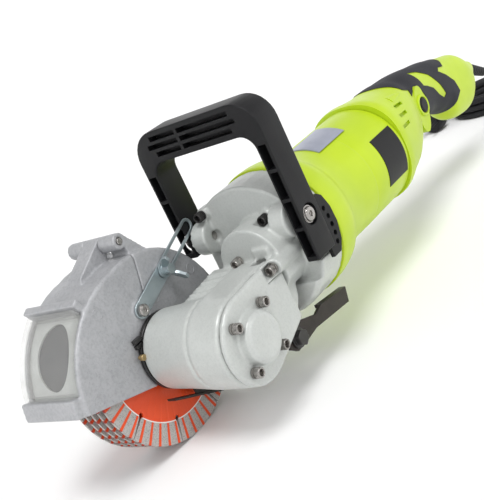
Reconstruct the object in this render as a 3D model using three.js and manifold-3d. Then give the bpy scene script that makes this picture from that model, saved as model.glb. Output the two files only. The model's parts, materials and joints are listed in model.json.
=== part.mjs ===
// Hand-held wall chaser: five parallel diamond discs under an opening cast guard, driven through a
// bevel pair and a spur train by a universal motor, with a D-handle in front and a rear trigger grip.
// Millimetres. The model is laid out round the spindle axis: +X to the rear grip, +Y to the guard,
// +Z up. The whole group is then moved so that its origin is the bottom centre of the machine.
import * as THREE from "three";
import { mergeVertices } from "three/addons/utils/BufferGeometryUtils.js";
import Module from "manifold-3d";

const wasm = await Module();
wasm.setup();

// ---------------------------------------------------------------- driving dimensions
const GAP = 0.3; // between pieces that rest on each other
const FIT = 0.4; // running clearance on a radius

const BLADE_COUNT = 5;
const BLADE_RADIUS = 78;
const BLADE_CORE = 2.2;
const BLADE_PITCH = 8.4;
const SEGMENT_DEPTH = 17;
const GULLETS = 9;
const ARBOR_RADIUS = 11;

const MOTOR_Y = -63;
const MOTOR_Z = 31;
const LAY_X = 84;
const MODULE_SPUR = 1.5;
const FINAL_TEETH = 28;
const IDLER_TEETH = 35;
const LAY_TEETH = 23;
const BEVEL_GEAR_RADIUS = 21.5;
const BEVEL_PINION_RADIUS = 9;

const GUARD_X = -12;
const GUARD_Z = -5;
const GUARD_RADIUS = BLADE_RADIUS + 8;
const REAR_RIM_X = 1; // the rim bulges behind the spindle so that it clears the discs there
const REAR_RIM_Z = -0.5;
const REAR_RIM_RADIUS = BLADE_RADIUS + 5.2;
const GUARD_WALL = 3;
const GUARD_NEAR = -8.5;
const GUARD_FAR = 58;
const BASE_SLOPE = 17;
const BASE_DROP = 25;
const HINGE_X = 10.3;
const HINGE_Z = BLADE_RADIUS + 17;
const HINGE_RADIUS = 7;

const NOSE_RADIUS = 28;
const CASE_RADIUS = 37;
const CASE_NEAR = -98;
const CASE_FAR = -64;
const FRONT_FACE = 60;
const FLANGE_RADIUS = 60.5;
const FLANGE_FRONT = 88;
const MOTOR_FRONT = 122;

const BARREL_RADIUS = 50;
const BARREL_REAR = 287;
const GRIP_REAR = 572;

const D_HALF = 66;
const D_LEG = 12;
const D_FRONT = 75;
const D_DEPTH = 27;
const D_TOP = 158.5;
const D_BAR = 27;
const D_FOOT = 20;
const D_FOOT_FAR = 43; // the far leg ends above the guard
const D_BOLT_X = 88;
const D_BOLT_Z = 55;

const CORD_RADIUS = 4.6;
const COIL_RADIUS = 52;
const COIL_TURNS = 5;

// ---------------------------------------------------------------- helpers
function toSolid(geometry) {
  const bare = geometry.clone();
  bare.deleteAttribute("normal");
  bare.deleteAttribute("uv");
  const merged = mergeVertices(bare, 1e-4);
  const triangles = [];
  const index = merged.index.array;
  for (let i = 0; i < index.length; i += 3) {
    const [a, b, c] = [index[i], index[i + 1], index[i + 2]];
    if (a !== b && b !== c && c !== a) triangles.push(a, b, c);
  }
  const vertProperties = new Float32Array(merged.attributes.position.array);
  const mesh = new wasm.Mesh({ numProp: 3, vertProperties, triVerts: new Uint32Array(triangles) });
  return new wasm.Manifold(mesh);
}

function toGeometry(solid) {
  const mesh = solid.getMesh();
  const geometry = new THREE.BufferGeometry();
  geometry.setAttribute("position", new THREE.BufferAttribute(mesh.vertProperties, 3));
  geometry.setIndex(new THREE.BufferAttribute(mesh.triVerts, 1));
  return geometry;
}

const join = (...solids) => solids.reduce((whole, next) => whole.add(next));
const cut = (solid, ...tools) => tools.reduce((rest, tool) => rest.subtract(tool), solid);

function boxSolid(x0, x1, y0, y1, z0, z1) {
  const geometry = new THREE.BoxGeometry(x1 - x0, y1 - y0, z1 - z0);
  geometry.translate((x0 + x1) / 2, (y0 + y1) / 2, (z0 + z1) / 2);
  return toSolid(geometry);
}

// A flat outline of [x, z] points, pushed along Y from y0 to y1.
function plateY(outline, y0, y1, bevel = 0, bevelSteps = 2) {
  const shape = outline instanceof THREE.Shape ? outline : polygon(outline);
  const geometry = new THREE.ExtrudeGeometry(shape, {
    depth: y1 - y0 - 2 * bevel,
    bevelEnabled: bevel > 0,
    bevelThickness: bevel,
    bevelSize: bevel,
    bevelOffset: -bevel,
    bevelSegments: bevelSteps,
    curveSegments: 8,
  });
  geometry.rotateX(Math.PI / 2);
  geometry.translate(0, y1 - bevel, 0);
  return toSolid(geometry);
}

// A flat outline of [y, z] points, pushed along X from x0 to x1.
function plateX(outline, x0, x1) {
  const shape = outline instanceof THREE.Shape ? outline : polygon(outline);
  const geometry = new THREE.ExtrudeGeometry(shape, { depth: x1 - x0, bevelEnabled: false, curveSegments: 10 });
  geometry.rotateX(Math.PI / 2);
  geometry.rotateZ(Math.PI / 2);
  geometry.translate(x0, 0, 0);
  return toSolid(geometry);
}

function polygon(points) {
  return new THREE.Shape(points.map(([a, b]) => new THREE.Vector2(a, b)));
}

// Points of an arc in degrees, both ends included.
function arc(cx, cz, radius, from, to, steps) {
  const points = [];
  for (let i = 0; i <= steps; i++) {
    const angle = THREE.MathUtils.degToRad(from + ((to - from) * i) / steps);
    points.push([cx + radius * Math.cos(angle), cz + radius * Math.sin(angle)]);
  }
  return points;
}

// The profile as points that run counter-clockwise, so that the turned faces point out.
function lathePoints(profile) {
  const points = profile.map(([r, along]) => new THREE.Vector2(r, along));
  return THREE.ShapeUtils.area(points) < 0 ? points.reverse() : points;
}

// A turned solid round the line through (x, z) along Y; the profile is [radius, y] pairs.
function turnedY(profile, x, z, sides = 32) {
  const geometry = new THREE.LatheGeometry(lathePoints(profile), sides);
  geometry.translate(x, 0, z);
  return toSolid(geometry);
}

// A turned solid round the line through (y, z) along X; the profile is [radius, x] pairs.
function turnedX(profile, y, z, sides = 40) {
  const geometry = new THREE.LatheGeometry(lathePoints(profile), sides);
  geometry.rotateZ(-Math.PI / 2);
  geometry.translate(0, y, z);
  return toSolid(geometry);
}

const rodProfile = (r, a, b) => [[0, a], [r, a], [r, b], [0, b]];
const ringProfile = (inner, outer, a, b) => [[inner, a], [outer, a], [outer, b], [inner, b], [inner, a]];
const rodY = (x, z, r, y0, y1, sides = 24) => turnedY(rodProfile(r, y0, y1), x, z, sides);
const rodX = (y, z, r, x0, x1, sides = 24) => turnedX(rodProfile(r, x0, x1), y, z, sides);
const ringY = (x, z, inner, outer, y0, y1, sides = 32) => turnedY(ringProfile(inner, outer, y0, y1), x, z, sides);
const ringX = (y, z, inner, outer, x0, x1, sides = 32) => turnedX(ringProfile(inner, outer, x0, x1), y, z, sides);

const model = new THREE.Group();
const materials = {
  lime: { color: 0xbedc21, roughness: 0.42, metalness: 0 },
  black: { color: 0x24252a, roughness: 0.55, metalness: 0 },
  grip: { color: 0x3c3d44, roughness: 0.8, metalness: 0 },
  painted: { color: 0xc9ccc9, roughness: 0.38, metalness: 0.2 },
  cast: { color: 0xa9abb2, roughness: 0.5, metalness: 0.7 },
  zinc: { color: 0xb4c0c6, roughness: 0.3, metalness: 0.9 },
  steel: { color: 0x8b8a88, roughness: 0.35, metalness: 0.9 },
  darkSteel: { color: 0x3b3330, roughness: 0.45, metalness: 0.7 },
  brass: { color: 0xb59a5c, roughness: 0.35, metalness: 0.9 },
  copper: { color: 0xb06a3a, roughness: 0.4, metalness: 0.8 },
  disc: { color: 0xe2512a, roughness: 0.5, metalness: 0.1 },
  clear: { color: 0xd9d8d2, roughness: 0.1, metalness: 0, opacity: 0.35, transparent: true },
  cord: { color: 0x1d1e20, roughness: 0.7, metalness: 0 },
  carbon: { color: 0x2a2a2a, roughness: 0.8, metalness: 0 },
};

function add(name, solid, finish) {
  const mesh = new THREE.Mesh(toGeometry(solid), new THREE.MeshStandardMaterial(materials[finish]));
  mesh.name = name;
  model.add(mesh);
}

// ---------------------------------------------------------------- gear train geometry
const finalRadius = (MODULE_SPUR * FINAL_TEETH) / 2;
const idlerRadius = (MODULE_SPUR * IDLER_TEETH) / 2;
const layRadius = (MODULE_SPUR * LAY_TEETH) / 2;
const trainLength = Math.hypot(LAY_X, MOTOR_Z);
const trainDirection = [LAY_X / trainLength, MOTOR_Z / trainLength];
// The idler hangs below the line from spindle to layshaft and touches both pitch circles.
const toIdler = finalRadius + idlerRadius;
const fromIdler = layRadius + idlerRadius;
const idlerAlong = (toIdler ** 2 - fromIdler ** 2 + trainLength ** 2) / (2 * trainLength);
const idlerAside = Math.sqrt(toIdler ** 2 - idlerAlong ** 2);
const IDLER_X = idlerAlong * trainDirection[0] + idlerAside * trainDirection[1];
const IDLER_Z = idlerAlong * trainDirection[1] - idlerAside * trainDirection[0];
const GEAR_NEAR = CASE_NEAR + 3;
const GEAR_WIDTH = 9;

// Toothed wheel whose tips stop just short of the pitch circle, so that pairs run clear.
function gearOutline(teeth, pitchRadius, cx, cz, turn, tipReach, rootDrop) {
  const points = [];
  for (let tooth = 0; tooth < teeth; tooth++) {
    const corners = [[-0.3, -rootDrop], [-0.11, tipReach], [0.11, tipReach], [0.3, -rootDrop]];
    for (const [share, radial] of corners) {
      const angle = ((tooth + share) / teeth) * 2 * Math.PI + turn;
      const radius = pitchRadius + radial;
      points.push([cx + radius * Math.cos(angle), cz + radius * Math.sin(angle)]);
    }
  }
  return points;
}

function spurGear(teeth, cx, cz, turn, bore) {
  const pitchRadius = (MODULE_SPUR * teeth) / 2;
  const outline = gearOutline(teeth, pitchRadius, cx, cz, turn, -0.15, 3);
  const wheel = plateY(outline, GEAR_NEAR, GEAR_NEAR + GEAR_WIDTH);
  return cut(wheel, rodY(cx, cz, bore, GEAR_NEAR - 1, GEAR_NEAR + GEAR_WIDTH + 1, 20));
}

// ---------------------------------------------------------------- spindle and blade stack
const FLANGE_INNER = -4;
const stackEnd = (BLADE_COUNT - 1) * BLADE_PITCH + BLADE_CORE;
const NUT_LENGTH = 8;
const OUTER_FLANGE = 5;
const SPACER_RADIUS = 21;
const NOSE_BORE = 22;
const SPINDLE_CORE = 8.5;

function spindle() {
  const end = stackEnd + GAP + OUTER_FLANGE + GAP + NUT_LENGTH + 1;
  const profile = [
    [0, CASE_NEAR - 8], [SPINDLE_CORE - 1.5, CASE_NEAR - 8], [SPINDLE_CORE - 1.5, GEAR_NEAR + GEAR_WIDTH + GAP],
    [SPINDLE_CORE, GEAR_NEAR + GEAR_WIDTH + GAP], [SPINDLE_CORE, FLANGE_INNER - 10], [12, FLANGE_INNER - 10],
    [12, FLANGE_INNER - 1], [24, FLANGE_INNER - 1], [24, -GAP], [ARBOR_RADIUS, -GAP],
    [ARBOR_RADIUS, stackEnd + 2], [8, stackEnd + 2], [8, end], [0, end],
  ];
  return turnedY(profile, 0, 0, 20);
}

function blade(y) {
  const outline = polygon(arc(0, 0, BLADE_RADIUS, 0, 360, 44).slice(0, -1));
  const bore = polygon(arc(0, 0, ARBOR_RADIUS + GAP, 0, 360, 16).slice(0, -1));
  outline.holes.push(new THREE.Path(bore.getPoints()));
  let disc = plateY(outline, y, y + BLADE_CORE);
  for (let i = 0; i < GULLETS; i++) {
    const turn = (i * 2 * Math.PI) / GULLETS + 0.2;
    const slit = new THREE.BoxGeometry(SEGMENT_DEPTH + 6, BLADE_CORE + 2, 2.4);
    slit.translate(BLADE_RADIUS - SEGMENT_DEPTH / 2 + 1, y + BLADE_CORE / 2, 0);
    slit.rotateY(-turn);
    disc = cut(disc, toSolid(slit));
  }
  return disc;
}

add("spindle", spindle(), "steel");
for (let i = 0; i < BLADE_COUNT; i++) {
  const y = i * BLADE_PITCH;
  add(`blade_${i + 1}`, blade(y), "disc");
  if (i < BLADE_COUNT - 1) {
    const from = y + BLADE_CORE + GAP;
    const to = y + BLADE_PITCH - GAP;
    add(`blade_spacer_${i + 1}`, ringY(0, 0, ARBOR_RADIUS + GAP, SPACER_RADIUS, from, to, 16), "steel");
  }
}
const flangeFrom = stackEnd + GAP;
add("outer_flange", ringY(0, 0, 8 + GAP, 22, flangeFrom + 2, flangeFrom + OUTER_FLANGE, 18), "steel");
const nutFrom = flangeFrom + OUTER_FLANGE + GAP;
const nut = cut(rodY(0, 0, 14, nutFrom, nutFrom + NUT_LENGTH, 6), rodY(0, 0, 8 + GAP, nutFrom - 1, nutFrom + NUT_LENGTH + 1));
add("spindle_nut", nut, "zinc");
add("spindle_gear", spurGear(FINAL_TEETH, 0, 0, 0, SPINDLE_CORE - 1.5 + GAP), "steel");

// ---------------------------------------------------------------- idler, layshaft, armature line
const PIN = 6;
const LAY_FAR = MOTOR_Y + BEVEL_PINION_RADIUS + 8;
add("idler_gear", spurGear(IDLER_TEETH, IDLER_X, IDLER_Z, 0, PIN + GAP), "steel");
const layGearSolid = join(
  spurGear(LAY_TEETH, LAY_X, MOTOR_Z, 0, PIN),
  rodY(LAY_X, MOTOR_Z, PIN + 0.1, GEAR_NEAR - 1, LAY_FAR, 20),
);
add("layshaft", layGearSolid, "steel");

// Bevel wheel on the near side of the motor line, its toothed cone facing the pinion.
function bevelWheel() {
  const face = MOTOR_Y - BEVEL_PINION_RADIUS - GAP;
  const bore = PIN + 2 * GAP;
  const profile = [[bore, face - 1], [15, face - 1], [BEVEL_GEAR_RADIUS, face - 3.5], [BEVEL_GEAR_RADIUS, face - 7],
    [bore, face - 7], [bore, face - 1]];
  let wheel = turnedY(profile, LAY_X, MOTOR_Z, 24);
  for (let i = 0; i < 14; i++) {
    const groove = new THREE.BoxGeometry(8, 3, 1.8);
    groove.rotateZ(-0.4);
    groove.translate(18.5, face - 1.4, 0);
    groove.rotateY((i * Math.PI) / 7);
    groove.translate(LAY_X, 0, MOTOR_Z);
    wheel = cut(wheel, toSolid(groove));
  }
  return wheel;
}
add("bevel_gear", bevelWheel(), "steel");

const PINION_FRONT = LAY_X + 13;
const SHAFT = 6;
const ARMATURE_FRONT = 147;
const ARMATURE_REAR = 207;
const COMMUTATOR_FRONT = 219;
const COMMUTATOR_REAR = 243;
const REAR_BEARING = 253;
function armatureShaft() {
  const pinion = plateX(
    gearOutline(9, BEVEL_PINION_RADIUS - 1.2, MOTOR_Y, MOTOR_Z, 0, 0, 2), PINION_FRONT, PINION_FRONT + 9);
  return join(pinion, rodX(MOTOR_Y, MOTOR_Z, SHAFT, PINION_FRONT + 1, REAR_BEARING + 10, 20));
}
add("armature_shaft", armatureShaft(), "steel");
add("armature_core", ringX(MOTOR_Y, MOTOR_Z, SHAFT + GAP, 24, ARMATURE_FRONT, ARMATURE_REAR, 20), "copper");
add("commutator", ringX(MOTOR_Y, MOTOR_Z, SHAFT + GAP, 15, COMMUTATOR_FRONT, COMMUTATOR_REAR, 18), "copper");

const FAN_FRONT = MOTOR_FRONT + 6;
function fan() {
  let wheel = ringX(MOTOR_Y, MOTOR_Z, SHAFT + GAP, 40, FAN_FRONT, FAN_FRONT + 2.5, 24);
  for (let i = 0; i < 8; i++) {
    const vane = new THREE.BoxGeometry(8.5, 22, 1.6);
    vane.translate(FAN_FRONT + 5.5, 28, 0);
    vane.rotateX((i * Math.PI) / 4);
    vane.translate(0, MOTOR_Y, MOTOR_Z);
    wheel = join(wheel, toSolid(vane));
  }
  return wheel;
}
add("cooling_fan", fan(), "black");
add("front_bearing", ringX(MOTOR_Y, MOTOR_Z, SHAFT + GAP, 16, MOTOR_FRONT - 14, MOTOR_FRONT - 4, 18), "steel");
add("rear_bearing", ringX(MOTOR_Y, MOTOR_Z, SHAFT + GAP, 11, REAR_BEARING, REAR_BEARING + 7, 16), "steel");
add("spindle_bearing_outer", ringY(0, 0, SPINDLE_CORE + GAP, 19, -28, -16, 18), "steel");
add("spindle_bearing_inner", ringY(0, 0, SPINDLE_CORE + GAP, 16, CASE_FAR - 20, CASE_FAR - 11, 16), "steel");

// ---------------------------------------------------------------- gear housing
const COVER_REAR = 58;
const LEVER_X = 50.5;
const LEVER_Z = -32;
const SCREW_SQUARE = 19;

// Two round ends of different radius, joined by their tangents.
function belt(x0, z0, r0, x1, z1, r1) {
  const slope = THREE.MathUtils.radToDeg(Math.atan2(z1 - z0, x1 - x0));
  const spread = THREE.MathUtils.radToDeg(Math.asin((r0 - r1) / Math.hypot(x1 - x0, z1 - z0)));
  return [
    ...arc(x0, z0, r0, slope + 90 - spread, slope + 270 + spread, 14),
    ...arc(x1, z1, r1, slope - 90 + spread, slope + 90 - spread, 8),
  ];
}
const caseOutline = (inset) => belt(0, 0, CASE_RADIUS - inset, IDLER_X, IDLER_Z, idlerRadius + 3.5 - inset);

const BEVEL_Y = -76;
const BEVEL_Z = 34;
const BEVEL_HALF = 30;
function bevelOutline() {
  const low = MOTOR_Z - BEVEL_GEAR_RADIUS - 5;
  return [
    ...arc(BEVEL_Y, BEVEL_Z, BEVEL_HALF, 0, 180, 16),
    [BEVEL_Y - BEVEL_HALF, low + 12], [BEVEL_Y - BEVEL_HALF + 10, low], [BEVEL_Y + BEVEL_HALF - 10, low],
    [BEVEL_Y + BEVEL_HALF, low + 12],
  ];
}

// A D-shaped ear beside the flange, with a round boss on which the handle's leg seats.
const LUG_INNER = 35;
const LUG_OUTER = 50.4;
const legInner = D_HALF - D_LEG;
const onSide = (side, a, b) => [MOTOR_Y + side * a, MOTOR_Y + side * b].sort((p, q) => p - q);
function lug(side) {
  const [from, to] = onSide(side, LUG_INNER, LUG_OUTER);
  const outline = [
    ...arc(D_BOLT_X - 1, D_BOLT_Z, 15, 80, 280, 14),
    [FLANGE_FRONT + 14, D_BOLT_Z - 16],
    [FLANGE_FRONT + 14, D_BOLT_Z + 16],
  ];
  return join(plateY(outline, from, to), rodY(D_BOLT_X, D_BOLT_Z, 6, ...onSide(side, LUG_OUTER - 1, legInner - GAP), 18));
}

function gearHousing() {
  const nose = turnedY([
    [0, -6], [NOSE_RADIUS - 1.5, -6], [NOSE_RADIUS - 0.5, -9], [NOSE_RADIUS + 0.5, -30], [NOSE_RADIUS + 3, CASE_FAR + 2],
    [0, CASE_FAR + 2],
  ], 0, 0, 24);
  const collar = turnedY([[0, CASE_FAR - 2], [CASE_RADIUS - 3, CASE_FAR - 2], [NOSE_RADIUS + 2, CASE_FAR + 10], [0, CASE_FAR + 10]],
    0, 0, 24);
  const spurCase = plateY(caseOutline(0), CASE_NEAR, CASE_FAR, 2.5, 1);
  const bevelCase = plateX(bevelOutline(), FRONT_FACE, FLANGE_FRONT + 4);
  const flange = turnedX([
    [0, FLANGE_FRONT - 7], [FLANGE_RADIUS - 3, FLANGE_FRONT - 7], [FLANGE_RADIUS, FLANGE_FRONT],
    [FLANGE_RADIUS, MOTOR_FRONT], [0, MOTOR_FRONT],
  ], MOTOR_Y, MOTOR_Z, 36);
  const frontTrim = boxSolid(FLANGE_FRONT - 12, FLANGE_FRONT, MOTOR_Y - 70, MOTOR_Y + 70, 0, 110);
  let body = join(cut(flange, frontTrim), nose, collar, spurCase, bevelCase, lug(1), lug(-1));
  for (const [y, z] of flangeScrews) body = join(body, rodX(y, z, 6, FLANGE_FRONT - 3, FLANGE_FRONT + 8, 10));
  for (const [y, z, x] of frontScrews) body = join(body, rodX(y, z, 7, x, FLANGE_FRONT + 2, 10));
  for (const [x, z] of coverScrews) body = join(body, rodY(x, z, 7, CASE_NEAR, CASE_NEAR + 16, 10));
  const leverBoss = plateY([...arc(LEVER_X, LEVER_Z, 9, 150, 360, 10), [LEVER_X + 14, 0], [LEVER_X - 26, 0]], -92, -70);
  body = join(body, leverBoss);

  const legSeat = (side) =>
    boxSolid(50, D_FRONT + D_DEPTH + 1, ...onSide(side, LUG_OUTER, 80), D_FOOT - 5, 120);
  const seatBoss = (side) => rodY(D_BOLT_X, D_BOLT_Z, 6, ...onSide(side, LUG_OUTER - 1, legInner - GAP), 12);
  const roomEnd = GEAR_NEAR + GEAR_WIDTH + 1.5;
  const trainRoom = belt(0, 0, CASE_RADIUS - 4, IDLER_X, IDLER_Z, idlerRadius + 1);
  const mouth = plateY(trainRoom, CASE_NEAR - 1, roomEnd);
  let gearRoom = join(
    mouth.intersect(boxSolid(-60, COVER_REAR - 3, CASE_NEAR - 2, roomEnd + 1, -60, 60)),
    plateY(trainRoom, CASE_NEAR + 2.5, roomEnd),
    plateY(belt(IDLER_X, IDLER_Z, idlerRadius + 1, LAY_X, MOTOR_Z, layRadius + 1), CASE_NEAR + 2.5, roomEnd),
  );
  for (const [x, z] of coverScrews) gearRoom = cut(gearRoom, rodY(x, z, 4.4, CASE_NEAR - 2, roomEnd + 1, 10));
  const bevelSeat = rodY(LAY_X, MOTOR_Z, BEVEL_GEAR_RADIUS + 1.2, GEAR_NEAR + GEAR_WIDTH + 1, MOTOR_Y + 2, 24);
  const bevelRoom = plateX(
    arc(MOTOR_Y, MOTOR_Z, 14, 0, 360, 24).slice(0, -1), LAY_X - 8, FLANGE_FRONT + 21);
  const bearingSeat = rodX(MOTOR_Y, MOTOR_Z, 16 + GAP, MOTOR_FRONT - 14 - GAP, MOTOR_FRONT + 1, 24);
  const fanRoom = rodX(MOTOR_Y, MOTOR_Z, 44, MOTOR_FRONT - 1, MOTOR_FRONT + 1, 24);
  body = cut(body, cut(legSeat(1), seatBoss(1)), cut(legSeat(-1), seatBoss(-1)), gearRoom, bevelSeat, bevelRoom, bearingSeat, fanRoom);
  body = cut(body, rodY(0, 0, NOSE_BORE, -14, -4, 24), rodY(0, 0, SPINDLE_CORE + 2, CASE_NEAR, -5, 16));
  body = cut(body, rodY(0, 0, 19 + GAP, -28 - GAP, -5, 24));
  body = cut(body, rodY(0, 0, 16 + GAP, CASE_NEAR, CASE_FAR - 11 + GAP, 24));
  body = cut(body, rodY(LAY_X, MOTOR_Z, PIN + 2 * GAP, CASE_NEAR + 1, LAY_FAR + 1, 16));
  body = cut(body, rodY(IDLER_X, IDLER_Z, idlerRadius + 0.6, GEAR_NEAR - 0.6, roomEnd, 30));
  body = join(body, rodY(IDLER_X, IDLER_Z, PIN, CASE_NEAR + 2, GEAR_NEAR + GEAR_WIDTH + 6, 16));
  for (const [y, z] of flangeScrews) {
    body = cut(body, rodX(y, z, 2.5 + GAP, FLANGE_FRONT - 5, FLANGE_FRONT + 16, 10));
    body = cut(body, rodX(y, z, 5.4, FLANGE_FRONT - 16, FLANGE_FRONT - 3, 10));
  }
  for (const [y, z, x] of frontScrews) {
    body = cut(body, rodX(y, z, 2.5 + GAP, x - 1, x + 8, 10), rodX(y, z, 5.2, x - 14, x, 10));
  }
  for (const [x, z] of coverScrews) body = cut(body, rodY(x, z, 2.5 + GAP, CASE_NEAR - 1, CASE_NEAR + 12, 10));
  for (const side of [-1, 1]) {
    body = cut(body, rodY(D_BOLT_X, D_BOLT_Z, 4 + GAP, ...onSide(side, 30, 60), 10));
  }
  return cut(body, rodY(LEVER_X, LEVER_Z, 4 + GAP, -93, -78, 10));
}

const flangeScrews = [[-26.5, 76], [-89, 61]];
const frontScrews = [[-65.4, 38.6, FRONT_FACE], [-103.5, 31.5, FRONT_FACE - 9]];
const coverScrews = [[SCREW_SQUARE, SCREW_SQUARE], [-SCREW_SQUARE, SCREW_SQUARE], [-SCREW_SQUARE, -SCREW_SQUARE],
  [SCREW_SQUARE, -SCREW_SQUARE]];
add("gear_housing", gearHousing(), "painted");

function gearCover() {
  const y = CASE_NEAR - GAP;
  let plate = plateY(caseOutline(0.5), y - 5, y, 1.5, 1);
  plate = plate.intersect(boxSolid(-60, COVER_REAR, y - 6, y + 1, -60, 80));
  for (const [sy, sz] of frontScrews) plate = cut(plate, rodX(sy, sz, 8, COVER_REAR - 20, COVER_REAR + 5, 16));
  const dome = turnedY([
    [0, y - 15], [17, y - 15], [20.5, y - 12.5], [21.5, y - 4], [0, y - 4],
  ], 0, 0, 28);
  plate = join(plate, dome);
  for (const [x, z] of coverScrews) plate = join(plate, rodY(x, z, 7, y - 5, y, 14));
  plate = cut(plate, rodY(0, 0, SPINDLE_CORE + 1, y - 11, y + 1, 24));
  for (const [x, z] of coverScrews) plate = cut(plate, rodY(x, z, 2.5 + GAP, y - 16, y + 1, 12), rodY(x, z, 5.2, y - 20, y - 5, 14));
  return plate;
}
add("gear_cover", gearCover(), "painted");

// Socket-head screw; the head points along -Y or -X.
const HEAD_RADIUS = 4.4;
const HEAD_TOP = -7.8;
const capScrew = (reach) => [[0, reach], [2.5, reach], [2.5, -GAP], [HEAD_RADIUS, -GAP], [HEAD_RADIUS, HEAD_TOP + 0.7],
  [HEAD_RADIUS - 0.7, HEAD_TOP], [0, HEAD_TOP]];
function screwY(x, z, y, reach) {
  const body = turnedY(capScrew(reach).map(([r, t]) => [r, t + y]), x, z, 12);
  return cut(body, rodY(x, z, 2.4, y - 9, y - 4.6, 6));
}
function screwX(y, z, x, reach) {
  const body = turnedX(capScrew(reach).map(([r, t]) => [r, t + x]), y, z, 12);
  return cut(body, rodX(y, z, 2.4, x - 9, x - 4.6, 6));
}
coverScrews.forEach(([x, z], i) => add(`cover_screw_${i + 1}`, screwY(x, z, CASE_NEAR - GAP - 5, 12), "steel"));
frontScrews.forEach(([y, z, x], i) => add(`front_screw_${i + 1}`, screwX(y, z, x, 6), "steel"));
flangeScrews.forEach(([y, z], i) => add(`flange_screw_${i + 1}`, screwX(y, z, FLANGE_FRONT - 3, 14), "steel"));

// ---------------------------------------------------------------- guard
const slopeAngle = THREE.MathUtils.degToRad(BASE_SLOPE);
const baseAt = (x) => -BASE_DROP / Math.cos(slopeAngle) - x * Math.tan(slopeAngle);
const SEAM_GAP = 0.6;
const WING_X = 32;
const WING_Z = 55.2;
const PIVOT_X = -8.2;
const PIVOT_Z = 40.6;
const NECK_CLEAR = NOSE_RADIUS + 3.6;
const WINDOW_TOP = 121;
const WINDOW_BOTTOM = 164;
const LIP_END = 175;
const BULGE = 7;

const guardArc = (radius, from, to, steps) => arc(GUARD_X, GUARD_Z, radius, from, to, steps);
function sector(inner, outer, from, to, y0, y1, steps = 8) {
  return plateY([...guardArc(outer, from, to, steps), ...guardArc(inner, to, from, steps)], y0, y1);
}
const belowBase = (lift) => plateY(
  [[-160, baseAt(-160) + lift], [-160, -200], [160, -200], [160, baseAt(160) + lift]], -40, 90);

// Everything in front of the seam: on the near side it also runs round the nose's left half.
function frontRegion(shift) {
  const line = [[HINGE_X + 0.6, 130], [HINGE_X + 0.6, HINGE_Z - 19], [0.5, 38]];
  const shifted = line.map(([x, z]) => [x + shift, z]);
  const left = [[-150, -90], [-150, 130]];
  const near = plateY([...shifted, ...arc(0, 0, NECK_CLEAR - shift, 95, 236, 12), [-22, -90], ...left], -20, 10);
  const far = plateY([...shifted, [-2.6 + shift, -90], ...left], 10, 80);
  return join(near, far);
}

function guardShell() {
  const drum = (x, z, r) => turnedY([[0, GUARD_NEAR], [r - 1.5, GUARD_NEAR], [r, GUARD_NEAR + 1.5],
    [r, GUARD_FAR - 1.5], [r - 1.5, GUARD_FAR], [0, GUARD_FAR]], x, z, 48);
  const room = (x, z, r) => rodY(x, z, r - GUARD_WALL, GUARD_NEAR + GUARD_WALL, GUARD_FAR - GUARD_WALL, 48);
  const outer = join(drum(GUARD_X, GUARD_Z, GUARD_RADIUS), drum(REAR_RIM_X, REAR_RIM_Z, REAR_RIM_RADIUS));
  const hollow = join(room(GUARD_X, GUARD_Z, GUARD_RADIUS), room(REAR_RIM_X, REAR_RIM_Z, REAR_RIM_RADIUS));
  return cut(outer, belowBase(0), hollow);
}

const barrel = (from, to) => rodY(HINGE_X, HINGE_Z, HINGE_RADIUS, from, to, 20);
const MIDDLE_NEAR = 16;
const MIDDLE_FAR = 34;
const pinHole = rodY(HINGE_X, HINGE_Z, 3 + GAP, GUARD_NEAR - 1, GUARD_FAR + 1, 14);

function guardFront() {
  let shell = guardShell().intersect(frontRegion(0));
  const brow = sector(GUARD_RADIUS - 2, GUARD_RADIUS + 10, WINDOW_TOP - 4, WINDOW_TOP, GUARD_NEAR + 2, GUARD_FAR - 1, 2);
  const lip = cut(
    sector(GUARD_RADIUS - 2, GUARD_RADIUS + 8, WINDOW_BOTTOM, LIP_END, GUARD_NEAR + 2, GUARD_FAR - 1, 4), belowBase(0));
  const arm = plateY([[HINGE_X, HINGE_Z - HINGE_RADIUS], [HINGE_X - 3, HINGE_Z + 6.2], [-26, HINGE_Z - 11], [-30, HINGE_Z - 17.5], [6, HINGE_Z - 14.5]],
    MIDDLE_NEAR, MIDDLE_FAR);
  const pad = rodY(PIVOT_X, PIVOT_Z, 8, GUARD_NEAR - 0.8, GUARD_NEAR + GUARD_WALL + 3, 20);
  shell = join(shell, brow, lip, cut(arm, rearKeepOut), barrel(MIDDLE_NEAR, MIDDLE_FAR), pad);
  const window = sector(GUARD_RADIUS - 6, GUARD_RADIUS + 1, WINDOW_TOP, WINDOW_BOTTOM, GUARD_NEAR + 4, GUARD_FAR - 4, 10);
  return cut(shell, window, pinHole, rodY(PIVOT_X, PIVOT_Z, 2.5 + GAP, GUARD_NEAR - 2, 5, 14));
}

// The middle knuckle's arm stays left of the rear shell's rim.
const rearKeepOut = boxSolid(HINGE_X + 0.6, 60, -20, 80, 40, HINGE_Z - HINGE_RADIUS);

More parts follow.
